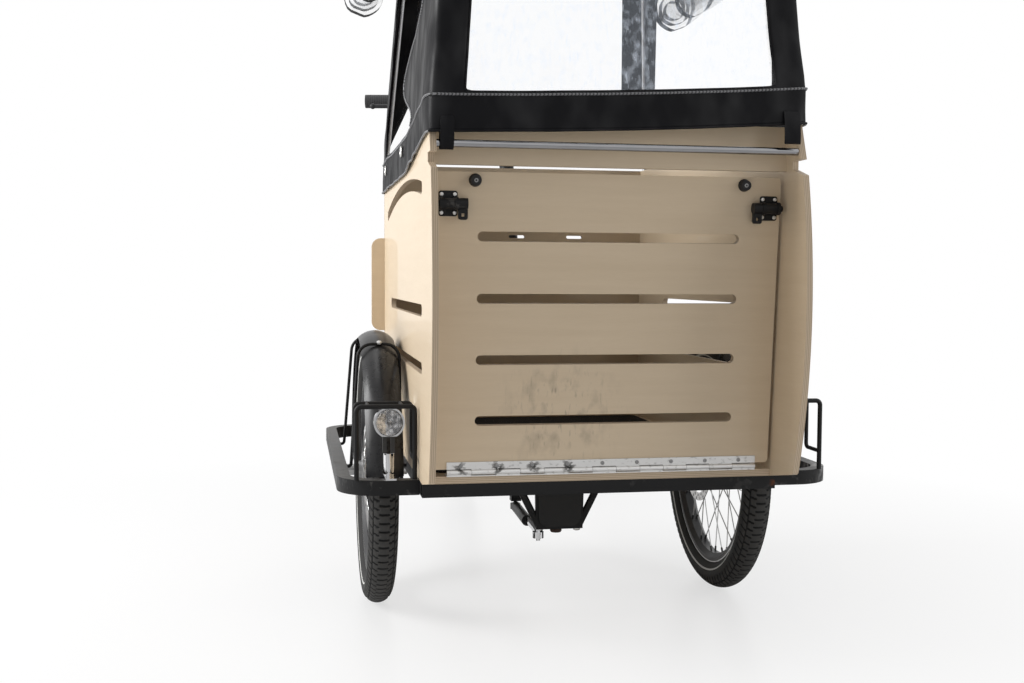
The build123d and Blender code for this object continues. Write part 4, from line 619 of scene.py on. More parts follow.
def clear(name, tint, alpha, roughness, ripple, depth):
    """Clear sheet or glass: mostly see-through, a little milky where it ripples."""
    made, place = new_finish(name)
    wave = grain(place, ripple, detail=5)
    coat(place, {
        "Base Color": tint,
        "Roughness": roughness,
        "Alpha": alpha + 2.2 * alpha * ramped(wave, 0.58, 0.85),
        "Normal": bumped(wave, depth, 0.8),
    })
    return made


lamp_chrome = chrome("lamp_chrome")
lamp_shell, place = new_finish("lamp_shell_and_fork")
height = place.axis(2)
fork = (height > FORK_LOW) * (height < FORK_HIGH)
smear = grain(place, 45, (1, 1, 3), 5)
coat(place, {
    "Base Color": mixed(fork, mixed(smear, (0.5, 0.5, 0.5), (0.62, 0.62, 0.63)), (0.012, 0.012, 0.012)),
    "Metallic": 1 - fork,
    "Roughness": 0.05 + 0.16 * ramped(smear, 0.5, 0.8) + 0.35 * fork,
})
paint(lamp_shell, "head_lamps")
lamp_glass, place = new_finish("ribbed_lamp_glass")
cells = place.node("TexVoronoi", {"feature": "F1"}, {"Vector": place, "Scale": 150}, "Distance")
lines = ((place.axis(0) * 330) % 1) * ramped(grain(place, 70), 0.4, 0.6)
coat(place, {
    "Base Color": mixed(ramped(cells + lines * 0.5, 0.35, 0.75), (0.75, 0.76, 0.78), (0.06, 0.06, 0.065)),
    "Roughness": 0.06 + 0.1 * cells,
    "Alpha": 0.22 + 0.45 * ramped(cells + lines * 0.4, 0.4, 0.8),
    "Normal": bumped(cells + lines, 0.0012, 0.7),
})
paint(lamp_glass, "head_lamp_lenses")
for side, label in ((1, "left"), (-1, "right")):
    x, y, z = LAMP_AT[0] * side, LAMP_AT[1] + MIRROR_SET, LAMP_AT[2]
    points, faces = [(x, y, z)], []
    for ring, (radius, rise) in enumerate(MIRROR_RINGS):
        for k in range(MIRROR_FACETS):
            angle = 2 * math.pi * (k + 0.5 * ring) / MIRROR_FACETS
            arm = radius * MIRROR_R
            points.append((x + arm * math.cos(angle), y + rise, z + arm * math.sin(angle)))
    for k in range(MIRROR_FACETS):
        after = (k + 1) % MIRROR_FACETS
        faces.append((0, 1 + after, 1 + k))
        for ring in (0, 1):
            a, b = 1 + ring * MIRROR_FACETS + k, 1 + ring * MIRROR_FACETS + after
            c, d = a + MIRROR_FACETS, b + MIRROR_FACETS
            faces += [(a, b, c), (b, d, c)]
    add_peg(points, faces, *(Vector((x, y + end, z)) for end in BULB_ENDS), BULB_SHAPE, 12)
    mirror_piece = new_piece(f"lamp_mirror_{label}", points, faces, lamp_chrome, smooth=False)
    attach(mirror_piece, "carriage")

# Floor mat: black rubber with pale flecks, worn grey where feet stand. It shows through the door's
# lowest slot.
mat_rubber, place = new_finish("fleck_rubber")
flecks = ramped(grain(place, 420, detail=1), 0.68, 0.72)
worn = grain(place, 5, detail=3)
coat(place, {
    "Base Color": mixed(flecks, mixed(worn, (0.012, 0.012, 0.012), (0.03, 0.029, 0.028)), (0.25, 0.25, 0.25)),
    "Roughness": 0.75 + 0.15 * worn,
    "Specular IOR Level": 0.2,
    "Normal": bumped(grain(place, 260), 0.0005, 0.7),
})
paint(mat_rubber, "floor_mat")

# Door furniture: a long rolled aluminium hinge with nine screws, dirty round four of them, black
# barrel bolts with bright screws, and moulded rubber stops with a dull screw in the middle.
DOOR_HINGE = Vector((0, -0.94, 0.316))
PLATE_OUT = 0.0016
HINGE_SCREWS, HINGE_SCREW_UP = [-0.24 + 0.0592 * k for k in range(9)], 0.0105
DIRTY_SCREWS, DIRT_X, DIRT_UP, DIRT_FADE = HINGE_SCREWS[:4], 0.002, 0.006, (0.015, 0.003)
LATCH_X, LATCH_UP = 0.266, 0.4334
LATCH_SCREW_X, LATCH_SCREW_UP = 0.0105, 0.0145
STOP_X, STOP_UP, STOP_OUT = 0.223, 0.4705, 0.0104
door_up = Vector((0, -math.sin(DOOR_LEAN), math.cos(DOOR_LEAN)))
door_face = Vector(door_out)


def on_door(x, up, out):
    """A point on the door: across, up from the hinge pin and out from the front face."""
    return DOOR_HINGE + Vector((x, 0, 0)) + door_up * up + door_face * out


hinge_metal, place = new_finish("rolled_aluminium")
dirt = 0
for x in DIRTY_SCREWS:
    off = place.vector("DISTANCE", on_door(x + DIRT_X, DIRT_UP, PLATE_OUT), "Value")
    dirt = ramped(off, *DIRT_FADE) + dirt
smear = ramped(grain(place, 110, (1, 1, 1.6), 6) + dirt * 0.2, 0.58, 0.7)
roll_marks = grain(place, 400, (0.05, 1, 1), 2)
coat(place, {
    "Base Color": mixed(smear * (0.3 + 0.7 * dirt), (0.66, 0.655, 0.645), (0.07, 0.068, 0.065)),
    "Metallic": 0.85 - 0.35 * smear,
    "Roughness": 0.3 + 0.3 * smear + 0.1 * roll_marks,
    "Normal": bumped(roll_marks, 0.0001, 0.5),
})
paint(hinge_metal, "door_hinge", "hinge_leaf")
hinge_screws = [(on_door(x, HINGE_SCREW_UP, PLATE_OUT), door_face) for x in HINGE_SCREWS]
dull_steel = steel("dull_screw_steel", (0.3, 0.3, 0.3), 0.35)
screws("hinge_screws", hinge_screws, 0.0034, 0.0016, 12, "ramp_door", dull_steel, 0.35)

paint(powder_coat("latch_black", 0.5), "door_latches")
latch_screws = []
for side in (-1, 1):
    for across in (-LATCH_SCREW_X, LATCH_SCREW_X):
        for rise in (-LATCH_SCREW_UP, LATCH_SCREW_UP):
            latch_screws.append((on_door(side * (LATCH_X + across), LATCH_UP + rise, PLATE_OUT), door_face))
screws("latch_screws", latch_screws, 0.0033, 0.0017, 12, "ramp_door", bolt_steel, 0.35)

stop_rubber, place = new_finish("moulded_rubber")
bloom = grain(place, 120, detail=4)
coat(place, {
    "Base Color": mixed(bloom, (0.012, 0.012, 0.012), (0.03, 0.03, 0.03)),
    "Roughness": 0.5 + 0.2 * bloom,
    "Specular IOR Level": 0.22,
    "Normal": bumped(grain(place, 600), 0.0002, 0.5),
})
paint(stop_rubber, "door_bumpers")
stop_screws = [(on_door(side * STOP_X, STOP_UP, STOP_OUT), door_face) for side in (-1, 1)]
screws("stop_screws", stop_screws, 0.0034, 0.0012, 16, "ramp_door", dull_steel, 0.5)

# Cross rod: a chromed steel bar between the side panels, above the door. It mirrors the dark
# tent, so its plating is painted darker: a painted reflection.
paint(chrome("rod_chrome", (0.34, 0.34, 0.35)), "cross_rod")

# Steering pivot and damper: a black pin through the bracket with a rusted cap, bright bolts that
# hang under the corners of the bracket's base, and a chromed damper rod.
BRACKET_BOLT_X, BRACKET_BOLT_Y, BRACKET_BOLT_Z = 0.037, -0.596, 0.146
PIN_CAP_AT = Vector((-0.002, -0.585, 0.1425))
SHIELD_Y = -0.6112
DOWNWARD = (0, 0, -1)
shield_coat, place = new_finish("bracket_shield")
shield = place.axis(1) < SHIELD_Y
peel = grain(place, 420, detail=2)
coat(place, {
    "Base Color": mixed(shield, COAT_BLACK, (0.019, 0.019, 0.019)),
    "Roughness": 0.45 + 0.1 * peel,
    "Specular IOR Level": 0.2,
    "Normal": bumped(peel, 0.00012, 0.6),
})
paint(shield_coat, "steering_bracket")
paint(frame_coat, "steering_pin")
rust, place = new_finish("rusted_pin_cap")
bloom = grain(place, 160, detail=5)
coat(place, {
    "Base Color": mixed(bloom, (0.012, 0.008, 0.006), (0.07, 0.03, 0.016)),
    "Roughness": 0.6 + 0.2 * bloom,
    "Normal": bumped(bloom, 0.0004, 0.6),
})
screws("pin_cap", [(PIN_CAP_AT, DOWNWARD)], 0.0115, 0.0075, 18, "carriage", rust)
bolt_places = [Vector((side * BRACKET_BOLT_X, BRACKET_BOLT_Y, BRACKET_BOLT_Z)) for side in (-1, 1)]
bracket_bolts = [(spot, DOWNWARD) for spot in bolt_places]
screws("bracket_bolts", bracket_bolts, 0.007, 0.006, 6, "carriage", bolt_steel)
paint(chrome("damper_chrome"), "damper_rod")

# Rain tent: coated black polyester cut in panels, sewn round the window and the side doorways,
# with a gathered skirt that laps over the box and grey reflective tape along its seams.
SKIRT_LOW, SKIRT_TOP, TENT_TOP = 0.850, 0.905, 1.380
OPEN_LOW, OPEN_HIGH = 0.911, 1.285
HALF_WIDTHS, FRONT_YS, REAR_YS = (0.3055, 0.273), (-1.04, -0.998), (-0.1275, -0.243)
DOOR_FRONTS, DOOR_REARS = (-0.895, -0.935), (-0.2, -0.3)
FLAP_FOOT, FLAP_REACH, FLAP_Z, FLAP_SPREAD = 0.055, 0.27, 0.993, 0.052
STRIP_W, STRIP_FOOT_W, STRIP_Z, STRIP_RISE = 0.057, 0.003, 0.9, 0.15
FRONT_LIFT, SIDE_DROP = (0.003, 0.010, 0.018), (0.025, 0.006)
LIFT_HALF, BACK_FADE, SHIFT_FADE = 0.3, 0.4, 0.12
RUCK, SWELL, GATHER, GATHER_FADE, CLOTH_T = 0.0032, 0.003, 0.0045, 0.03, 0.0016
TOLERANCE = 1e-6
ROOF_R, ROOF_EDGE_R = 0.09, 0.024
FACE_COLUMNS = {"strip": 4, "window": 28}
SIDE_COLUMNS = {"gusset": 9, "doorway": 34, "rear": 6}
DOORWAY_R = 0.05
CORNER_CUT, ROOF_SAG = 0.004, 0.007
OUTWARD = ((0, -1, 0), (1, 0, 0), (0, 1, 0), (-1, 0, 0))
TRIM_R, PIPING_R, SEAM_R = 0.002, 0.0021, 0.0014
EYELETS = ((-0.639, 0.861), (-0.267, 0.858))
EYELET_X, EYELET_R, EYELET_WIRE_R = 0.3095, 0.0085, 0.0023
CLOTH_BLACK = (0.0035, 0.0035, 0.004)


def eased(share):
    share = min(1.0, max(0.0, share))
    return share * share * (3 - 2 * share)


def lean(z, foot, top):
    """A place on the tent that leans evenly from the skirt's seam to the roof."""
    return foot + (top - foot) * max(0.0, (z - SKIRT_TOP) / (TENT_TOP - SKIRT_TOP))


def tent_half(z):
    return lean(z, *HALF_WIDTHS)


def tent_front(z):
    return lean(z, *FRONT_YS)


def tent_rear(z):
    return lean(z, *REAR_YS)


def rear_strip(z):
    """Width of the cloth beside the rear window: it runs out to nothing at the foot."""
    return STRIP_FOOT_W + (STRIP_W - STRIP_FOOT_W) * eased((z - STRIP_Z) / STRIP_RISE)


def doorway(z, flap):
    """Front and rear edge of a side doorway at a height. A loose flap hangs back at the foot."""
    share = min(1, max(0, (z - OPEN_LOW) / (OPEN_HIGH - OPEN_LOW)))
    front, rear = (foot + (top - foot) * share for foot, top in (DOOR_FRONTS, DOOR_REARS))
    front += flap * (FLAP_FOOT * (1 - share) + FLAP_REACH * math.exp(-((z - FLAP_Z) / FLAP_SPREAD) ** 2))
    end = min(z - OPEN_LOW, OPEN_HIGH - z)
    if 0 <= end < DOORWAY_R:
        pull = DOORWAY_R - math.sqrt(DOORWAY_R ** 2 - (DOORWAY_R - end) ** 2)
        front, rear = front + pull, rear - pull
    return front, rear


def skirt_shift(x, y, z):
    """How far the skirt is above its even line: it rides up at the front's left, and drops behind."""
    across = min(1, max(0, (x + LIFT_HALF) / (2 * LIFT_HALF)))
    front_lift = sum(lift * across ** power for power, lift in enumerate(FRONT_LIFT))
    hang = min(1, max(0, (SKIRT_TOP - z) / (SKIRT_TOP - SKIRT_LOW)))
    back = eased((y - tent_front(z)) / BACK_FADE)
    shift = front_lift * (1 - back) - (SIDE_DROP[0] + SIDE_DROP[1] * hang) * back
    return shift * (1 - eased((z - OPEN_LOW) / SHIFT_FADE))


def steps(start, end, count):
    return [start + (end - start) * k / count for k in range(count)]


def tent_loop(z):
    """The tent's outline at one height, front to left side to rear to right side."""
    half, front, rear = tent_half(z), tent_front(z), tent_rear(z)
    if z > TENT_TOP - ROOF_R:
        half -= ROOF_R - math.sqrt(max(0, ROOF_R ** 2 - (z - TENT_TOP + ROOF_R) ** 2))
    if z > TENT_TOP - ROOF_EDGE_R:
        bite = ROOF_EDGE_R - math.sqrt(max(0, ROOF_EDGE_R ** 2 - (z - TENT_TOP + ROOF_EDGE_R) ** 2))
        front, rear = front + bite, rear - bite
    strips, panes = FACE_COLUMNS["strip"], FACE_COLUMNS["window"]
    faces_across = []
    for strip in (STRIP_W, rear_strip(z)):
        inner = half - strip
        across = steps(-half, -inner, strips) + steps(-inner, inner, panes) + steps(inner, half, strips)
        faces_across.append(across)
    sides = []
    for flap in (0, 1):
        open_front, open_rear = doorway(z, flap)
        along = steps(front, open_front, SIDE_COLUMNS["gusset"])
        along += steps(open_front, open_rear, SIDE_COLUMNS["doorway"])
        sides.append(along + steps(open_rear, rear, SIDE_COLUMNS["rear"]))
    left, right = sides
    loop = [(x, front) for x in faces_across[0]] + [(half, y) for y in left]
    return loop + [(-x, rear) for x in faces_across[1]] + [(-half, y) for y in [rear] + right[:0:-1]]


roof_rows = [TENT_TOP - ROOF_R * (1 - math.sin(math.radians(a))) for a in (0, 15, 30, 45, 60, 72, 82, 90)]
tent_rows = steps(SKIRT_LOW, SKIRT_TOP, 6) + steps(SKIRT_TOP, OPEN_LOW, 1) + steps(OPEN_LOW, OPEN_HIGH, 36)
tent_rows += [OPEN_HIGH] + roof_rows


def cloth_sway(point, out, row_z):
    """Soft folds of the cloth: it only ever stands out from its frame, and the skirt is gathered."""
    ruck = noise.noise(Vector((point.x * 13 + point.z * 9, point.y * 13, point.z * 21)))
    swell = noise.noise(point * 5.5)
    gather = noise.noise(Vector((point.x * 31, point.y * 31, point.z * 3 + 5)))
    skirt = GATHER * abs(gather) * eased((SKIRT_TOP - row_z) / GATHER_FADE)
    return point + out * (max(0.0, RUCK * ruck + SWELL * swell) + skirt)


face_count = sum(FACE_COLUMNS.values()) + FACE_COLUMNS["strip"]
side_count = sum(SIDE_COLUMNS.values())
left_start, rear_start, right_start = face_count, face_count + side_count, 2 * face_count + side_count
tent_corners = (0, left_start, rear_start, right_start)
points = []
for z in tent_rows:
    loop = tent_loop(z)
    middle = Vector((0, (tent_front(z) + tent_rear(z)) / 2, 0))
    for index, (x, y) in enumerate(loop):
        point = Vector((x, y, z))
        out = Vector(OUTWARD[sum(index > corner for corner in tent_corners) - 1])
        if index in tent_corners:
            out = (Vector((x, y, 0)) - middle).normalized()
            point -= Vector((math.copysign(CORNER_CUT, x), math.copysign(CORNER_CUT, y - middle.y), 0))
        point.z += skirt_shift(x, y, z)
        points.append(cloth_sway(point, out, z))
count = len(loop)


def is_open(row, column):
    """True where a pane or a doorway leaves a hole in the cover. The rear has no band at its foot."""
    if tent_rows[row] > OPEN_HIGH - TOLERANCE:
        return False
    strip, pane = FACE_COLUMNS["strip"], FACE_COLUMNS["window"]
    gusset, door = SIDE_COLUMNS["gusset"], SIDE_COLUMNS["doorway"]
    if rear_start <= column < right_start:
        return strip <= column - rear_start < strip + pane
    if tent_rows[row] < OPEN_LOW - TOLERANCE:
        return False
    if column < left_start:
        return strip <= column < strip + pane
    if column < rear_start:
        return gusset <= column - left_start < gusset + door
    return SIDE_COLUMNS["rear"] <= column - right_start < SIDE_COLUMNS["rear"] + door


walls = grid_faces(len(tent_rows) - 1, count, closed=True)
faces = [face for number, face in enumerate(walls) if not is_open(*divmod(number, count))]
top = (len(tent_rows) - 1) * count


def roof_point(i, j):
    """Index of the roof's grid point: i columns across from the right, j along from the front."""
    if j == 0:
        return top + i
    if j == side_count:
        return top + (right_start - i) % count
    if i == 0:
        return top + (count - j) % count
    if i == face_count:
        return top + face_count + j
    return roof_start + (j - 1) * (face_count - 1) + i - 1


roof_start = len(points)
for j in range(1, side_count):
    right, left = points[top + count - j], points[top + face_count + j]
    for i in range(1, face_count):
        front_x = points[top + i].x
        share = (front_x - right.x) / (left.x - right.x)
        point = right.lerp(left, share)
        sag = ROOF_SAG * math.sin(math.pi * share) * math.sin(math.pi * j / side_count)
        points.append(cloth_sway(point - Vector((0, 0, sag)), Vector((0, 0, 1)), TENT_TOP))
for j in range(side_count):
    for i in range(face_count):
        faces.append((roof_point(i, j), roof_point(i + 1, j), roof_point(i + 1, j + 1), roof_point(i, j + 1)))


def rounded(piece, levels):
    """Rounds a piece off by subdivision."""
    rounding = piece.modifiers.new("subsurf", "SUBSURF")
    rounding.levels = rounding.render_levels = levels


def thicken(piece, levels, thickness, offset):
    """Rounds a sheet off and gives it a thickness."""
    rounded(piece, levels)
    shell = piece.modifiers.new("solidify", "SOLIDIFY")
    shell.thickness, shell.offset = thickness, offset


cloth, place = new_finish("coated_polyester")
weave = place.node("TexBrick", {"offset": 0.5}, {
    "Vector": place, "Scale": 900, "Mortar Size": 0.2,
    "Color1": (1, 1, 1, 1), "Color2": (0.8, 0.8, 0.8, 1)}, "Fac")
rucks = grain(place, 15, (1.4, 1.4, 0.8), 2)
dust = grain(place, 4, detail=5)
coat(place, {
    "Base Color": mixed(dust * 0.5 + weave * 0.2, CLOTH_BLACK, (0.011, 0.011, 0.013)),
    "Roughness": 0.48 + 0.2 * dust,
    "Specular IOR Level": 0.09,
    "Coat Weight": 0.3 * ramped(rucks, 0.4, 0.75),
    "Coat Roughness": 0.35,
    "Normal": bumped(rucks + weave * 0.04, 0.008, 0.6),
})
cover = new_piece("tent_cloth", points, faces, cloth)
thicken(cover, 1, CLOTH_T, -1.0)
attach(cover, "carriage")
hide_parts("tent_cover")

tape, place = new_finish("reflective_tape")
stitch = (((place.axis(0) + place.axis(1)) * 170) % 1) > 0.42
coat(place, {
    "Base Color": mixed(stitch, (0.025, 0.025, 0.026), (0.2, 0.2, 0.21)),
    "Roughness": 0.35 + 0.2 * stitch,
    "Normal": bumped(stitch, 0.0006, 0.8),
})


def cord_along(name, line, radius, finish, closed=False):
    """A thin round bead sewn along a line of points on the tent."""
    curve = bpy.data.curves.new(name, "CURVE")
    curve.dimensions = "3D"
    curve.bevel_depth = radius
    curve.bevel_resolution = 2
    curve.resolution_u = 3
    spline = curve.splines.new("POLY")
    spline.points.add(len(line) - 1)
    for knot, point in zip(spline.points, line):
        knot.co = (*point, 1)
    spline.use_cyclic_u = closed
    bead = bpy.data.objects.new(name, curve)
    scene.collection.objects.link(bead)
    curve.materials.append(finish)
    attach(bead, "carriage")
    return bead


seam = tent_rows.index(SKIRT_TOP) * count
open_rows = [r * count for r, z in enumerate(tent_rows) if OPEN_LOW - TOLERANCE <= z <= OPEN_HIGH + TOLERANCE]
gusset, strip, window = SIDE_COLUMNS["gusset"], FACE_COLUMNS["strip"], FACE_COLUMNS["window"]
for name, line, radius, finish in (
    ("skirt_tape", [seam + k for k in (*range(right_start, count), *range(rear_start + 1))], TRIM_R, tape),
    ("skirt_hem_front", range(left_start + 1), TRIM_R, cloth),
    ("skirt_hem_left", range(left_start, rear_start + 1), TRIM_R, tape),
    ("skirt_hem_right", (*range(right_start, count), 0), TRIM_R, tape),
    ("gusset_piping_left", [r + left_start + gusset for r in open_rows], PIPING_R, tape),
    ("gusset_piping_right", [r + count - gusset for r in open_rows], PIPING_R, tape),
    ("window_seam_left", [r + strip + window for r in open_rows], SEAM_R, cloth),
    ("window_seam_right", [r + strip for r in open_rows], SEAM_R, cloth),
):
    cord_along(name, [points[k] for k in line], radius, finish)
for label, side in (("left", 1), ("right", -1)):
    for number, (y, z) in enumerate(EYELETS):
        turns = [2 * math.pi * k / 16 for k in range(16)]
        ring = [Vector((0, y, z)) + around(side * EYELET_X, EYELET_R, a) for a in turns]
        eyelet = cord_along(f"eyelet_{label}_{number}", ring, EYELET_WIRE_R, bolt_steel, True)

STRAPS = (
    {"name": "right", "x": -0.276, "half": 0.0105,
     "line": ((-1.0425, 0.876), (-1.0462, 0.862), (-1.0455, 0.846), (-1.0412, 0.831), (-1.0345, 0.8262),
              (-1.0275, 0.8268), (-1.0225, 0.832), (-1.0225, 0.84), (-1.0285, 0.858), (-1.034, 0.87))},
    {"name": "left", "x": 0.2755, "half": 0.0135,
     "line": ((-1.0425, 0.899), (-1.0465, 0.89), (-1.0475, 0.872), (-1.0485, 0.853), (-1.0475, 0.846))},
)
STRAP_ACROSS, STRAP_CROWN, STRAP_T = (-1, -0.9, 0, 0.9, 1), 0.0004, 0.0012
for strap in STRAPS:
    points = []
    for y, z in strap["line"]:
        for across in STRAP_ACROSS:
            points.append((strap["x"] + strap["half"] * across, y - STRAP_CROWN * (1 - across * across), z))
    faces = grid_faces(len(strap["line"]) - 1, len(STRAP_ACROSS) - 1)
    webbing = new_piece(f"tie_strap_{strap['name']}", points, faces, cloth)
    thicken(webbing, 2, STRAP_T, 0.0)
    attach(webbing, "carriage")

# Tent windows: clear soft sheet sewn in behind the cloth, front and rear. It is milky where it has
# been rolled and creased, and the rear one hangs down to the back board.
pane_finish, place = new_finish("clear_soft_sheet")
crease = grain(place, 85, (1, 1, 0.7), 7)
milky = ramped(crease, 0.48, 0.72)
scratch = ramped(grain(place, 240, (1, 1, 0.2), 3), 0.6, 0.68)
coat(place, {
    "Base Color": (0.82, 0.89, 1, 1),
    "Metallic": 1.0,
    "Roughness": 0.2 + 0.1 * crease,
    "Alpha": 0.1 + 0.26 * milky + 0.2 * scratch,
    "Normal": bumped(crease, 0.0003, 0.5),
})
rear_finish = clear("clear_rear_sheet", (0.9, 0.94, 1, 1), 0.03, 0.3, 9, 0.0005)
PANE_LAP, PANE_SET, PANE_PUCKER = 0.008, 0.0032, 0.0016
PANE_COLUMNS, PANE_ROWS = 40, 30
REAR_PANE_LOW, REAR_PANE_STRIP = 0.876, 0.005
PANES = (
    {"name": "front", "depth": tent_front, "inward": 1, "finish": pane_finish, "low": OPEN_LOW - PANE_LAP,
     "strip": lambda z: STRIP_W - PANE_LAP},
    {"name": "rear", "depth": tent_rear, "inward": -1, "finish": rear_finish, "low": REAR_PANE_LOW,
     "strip": lambda z: max(REAR_PANE_STRIP, rear_strip(z) - PANE_LAP)},
)
for sheet in PANES:
    points = []
    for row in range(PANE_ROWS + 1):
        z = sheet["low"] + (OPEN_HIGH + PANE_LAP - sheet["low"]) * row / PANE_ROWS
        reach = tent_half(z) - sheet["strip"](z)
        for column in range(PANE_COLUMNS + 1):
            x = reach * (2 * column / PANE_COLUMNS - 1)
            pucker = noise.noise(Vector((x * 11, z * 7, 3.3 * sheet["inward"]))) * PANE_PUCKER
            y = sheet["depth"](z) + sheet["inward"] * (PANE_SET + pucker)
            points.append((x, y, z + skirt_shift(x, y, z)))
    faces = grid_faces(PANE_ROWS, PANE_COLUMNS)
    pane = new_piece(f"{sheet['name']}_window_sheet", points, faces, sheet["finish"])
    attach(pane, "carriage")
    flat_width = 2 * (tent_half(sheet["low"]) - sheet["strip"](sheet["low"]))
    OPEN_HIGH + 0.012 - sheet["low"]
    if sheet["name"] == "front":
        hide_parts("tent_windows")

# Rolled side windows: the same clear sheet with a black hem, rolled up and tied with two bands.
# A cloth header, sewn along the tent's eave, laps over each roll and carries it.
ROLLS = (
    {"name": "left", "side": 1, "x": 0.327, "z": 1.226, "drop": 0.76},
    {"name": "right", "side": -1, "x": 0.354, "z": 1.228, "drop": 0.786},
)
EAVE_Z, EAVE_TUCK = 1.303, 0.013
HEADER_R, HEADER_LAP, HEADER_STEPS = 0.056, (35, 72), 10
ROLL_FRONT, ROLL_REAR = -0.941, -0.25
ROLL_TURNS, ROLL_START, ROLL_STEPS, ROLL_LENGTHS = 3.2, 1.2, 90, 26
ROLL_CORE_R, ROLL_GROWTH, ROLL_HEIGHT = 0.016, 0.034, 1.02
CORE_RUCK, OUTER_RUCK = 0.003, 0.004
TIE_SHARES, TIE_SPREAD, TIE_PINCH = (0.2, 0.8), 0.05, 0.12
HEM_STEPS, BAND_LENGTHS = 6, (5, 20)
roll_finish = clear("rolled_soft_sheet", (0.8, 0.83, 0.88, 1), 0.2, 0.1, 14, 0.004)
for rolled in ROLLS:
    points = []
    for along in range(ROLL_LENGTHS + 1):
        share = along / ROLL_LENGTHS
        y = ROLL_FRONT + (ROLL_REAR - ROLL_FRONT) * share
        tie = sum(math.exp(-((share - middle) / TIE_SPREAD) ** 2) for middle in TIE_SHARES)
        for k in range(ROLL_STEPS + 1):
            wound = k / ROLL_STEPS
            angle = 2 * math.pi * ROLL_TURNS * wound + ROLL_START
            wave = Vector((3 * share, 1.6 * math.cos(angle), 1.6 * math.sin(angle) + 0.9 * wound))
            radius = (ROLL_CORE_R + ROLL_GROWTH * wound) * (1 - TIE_PINCH * tie)
            radius += (CORE_RUCK + OUTER_RUCK * wound) * noise.noise(wave)
            x = rolled["x"] + radius * math.cos(angle)
            points.append((rolled["side"] * x, y, rolled["z"] + ROLL_HEIGHT * radius * math.sin(angle)))
    faces = grid_faces(ROLL_LENGTHS, ROLL_STEPS)
    header_start = len(points)
    for along in range(ROLL_LENGTHS + 1):
        y = ROLL_FRONT + (ROLL_REAR - ROLL_FRONT) * along / ROLL_LENGTHS
        eave = Vector((tent_half(EAVE_Z) - EAVE_TUCK, y, EAVE_Z))
        for k in range(HEADER_STEPS + 1):
            share = 2 * k / HEADER_STEPS
            angle = math.radians(HEADER_LAP[0] + (HEADER_LAP[1] - HEADER_LAP[0]) * min(1, share))
            x = rolled["x"] + HEADER_R * math.cos(angle)
            z = rolled["z"] + HEADER_R * math.sin(angle)
            spot = Vector((x, y, z)).lerp(eave, max(0, share - 1))
            points.append((rolled["side"] * spot.x, y, spot.z))
    faces += grid_faces(ROLL_LENGTHS, HEADER_STEPS, header_start)
    roll = new_piece(f"rolled_window_{rolled['name']}", points, faces, roll_finish)
    roll.data.materials.append(cloth)
    for number, polygon in enumerate(roll.data.polygons):
        along, k = divmod(number, ROLL_STEPS)
        banded = k > ROLL_STEPS * (1 - 1 / ROLL_TURNS) and along in BAND_LENGTHS
        hemmed = k >= ROLL_STEPS - HEM_STEPS or along in (0, ROLL_LENGTHS - 1)
        in_header = along >= ROLL_LENGTHS
        if in_header or hemmed or banded:
            polygon.material_index = 1
    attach(roll, "carriage")
    if rolled["name"] == "left":
        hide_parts("side_window_rolls")

# Tent poles, handlebar and grips: bare aluminium tube, a powder-coated post, ribbed rubber grips
# and black brake levers.
pole_metal = steel("drawn_aluminium", (0.55, 0.55, 0.56), 0.28)
paint(pole_metal, "tent_poles", "handlebar", "seat_post")
paint(frame_coat, "handlebar_post", "rear_frame", "rear_rack")
grip_rubber, place = new_finish("ribbed_grip_rubber")
rib = ((place.axis(0) * 190) % 1) > 0.5
coat(place, {
    "Base Color": mixed(rib, (0.02, 0.02, 0.021), (0.038, 0.038, 0.04)),
    "Roughness": 0.7,
    "Normal": bumped(rib, 0.0012, 0.8),
})
paint(grip_rubber, "handle_grips")

moulded_plastic, place = new_finish("moulded_black_plastic")
flow = grain(place, 8, detail=4)
coat(place, {
    "Base Color": mixed(flow, (0.016, 0.016, 0.017), (0.032, 0.032, 0.034)),
    "Roughness": 0.42 + 0.15 * flow,
    "Specular IOR Level": 0.3,
    "Normal": bumped(grain(place, 900), 0.00015, 0.6),
})
paint(moulded_plastic, "brake_levers", "brake_calipers", "chain_guard", "battery")
paint(moulded_plastic, "pedal_left", "pedal_right")

# Saddle: a foam pad under a stretched cover, wide at the tail and narrow at the nose, with a sewn
# edge. It is shaped from crowned cross-sections.
SADDLE_ROWS, SADDLE_COLUMNS = 24, 28
NOSE_HALF, TAIL_INSET, END_INSET = 0.022, 0.024, 0.004
CROWN_UP, CROWN_DISH, CROWN_RISE = 0.034, 0.024, 0.012
EDGE_DROP, NOSE_DROP, UNDER_GAP = 0.027, 0.0162, 0.0004
GROOVE_DEPTH, GROOVE_SPREAD = 0.006, 0.012
low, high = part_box("saddle")
points = []
for row in range(SADDLE_ROWS + 1):
    share = row / SADDLE_ROWS
    y = low.y + END_INSET + (high.y - low.y - 2 * END_INSET) * share
    ease = eased(share)
    half = NOSE_HALF + (high.x - TAIL_INSET) * max(0, min(1, (share - 0.28) / 0.5)) ** 1.3
    half *= math.sqrt(max(0.03, 1 - (2 * max(0.0, share - 0.86) / 0.3) ** 2))
    half *= math.sqrt(min(1, share * 9 + 0.12))
    crown = low.z + CROWN_UP + CROWN_DISH * abs(2 * share - 0.9) ** 1.6 * (0.4 + 0.6 * ease)
    drop = EDGE_DROP + NOSE_DROP * (1 - ease)
    fade = min(1, 4 * share) * min(1, 3 * (1 - share))
    for column in range(SADDLE_COLUMNS):
        angle = 2 * math.pi * column / SADDLE_COLUMNS
        side, rise = math.cos(angle), math.sin(angle)
        x = half * math.copysign(abs(side) ** 0.75, side)
        z = crown + (CROWN_RISE if rise > 0 else drop) * rise
        groove = GROOVE_DEPTH * math.exp(-(x / GROOVE_SPREAD) ** 2) * (rise > 0.3) * fade
        points.append((x, y, max(low.z + UNDER_GAP, z - groove)))
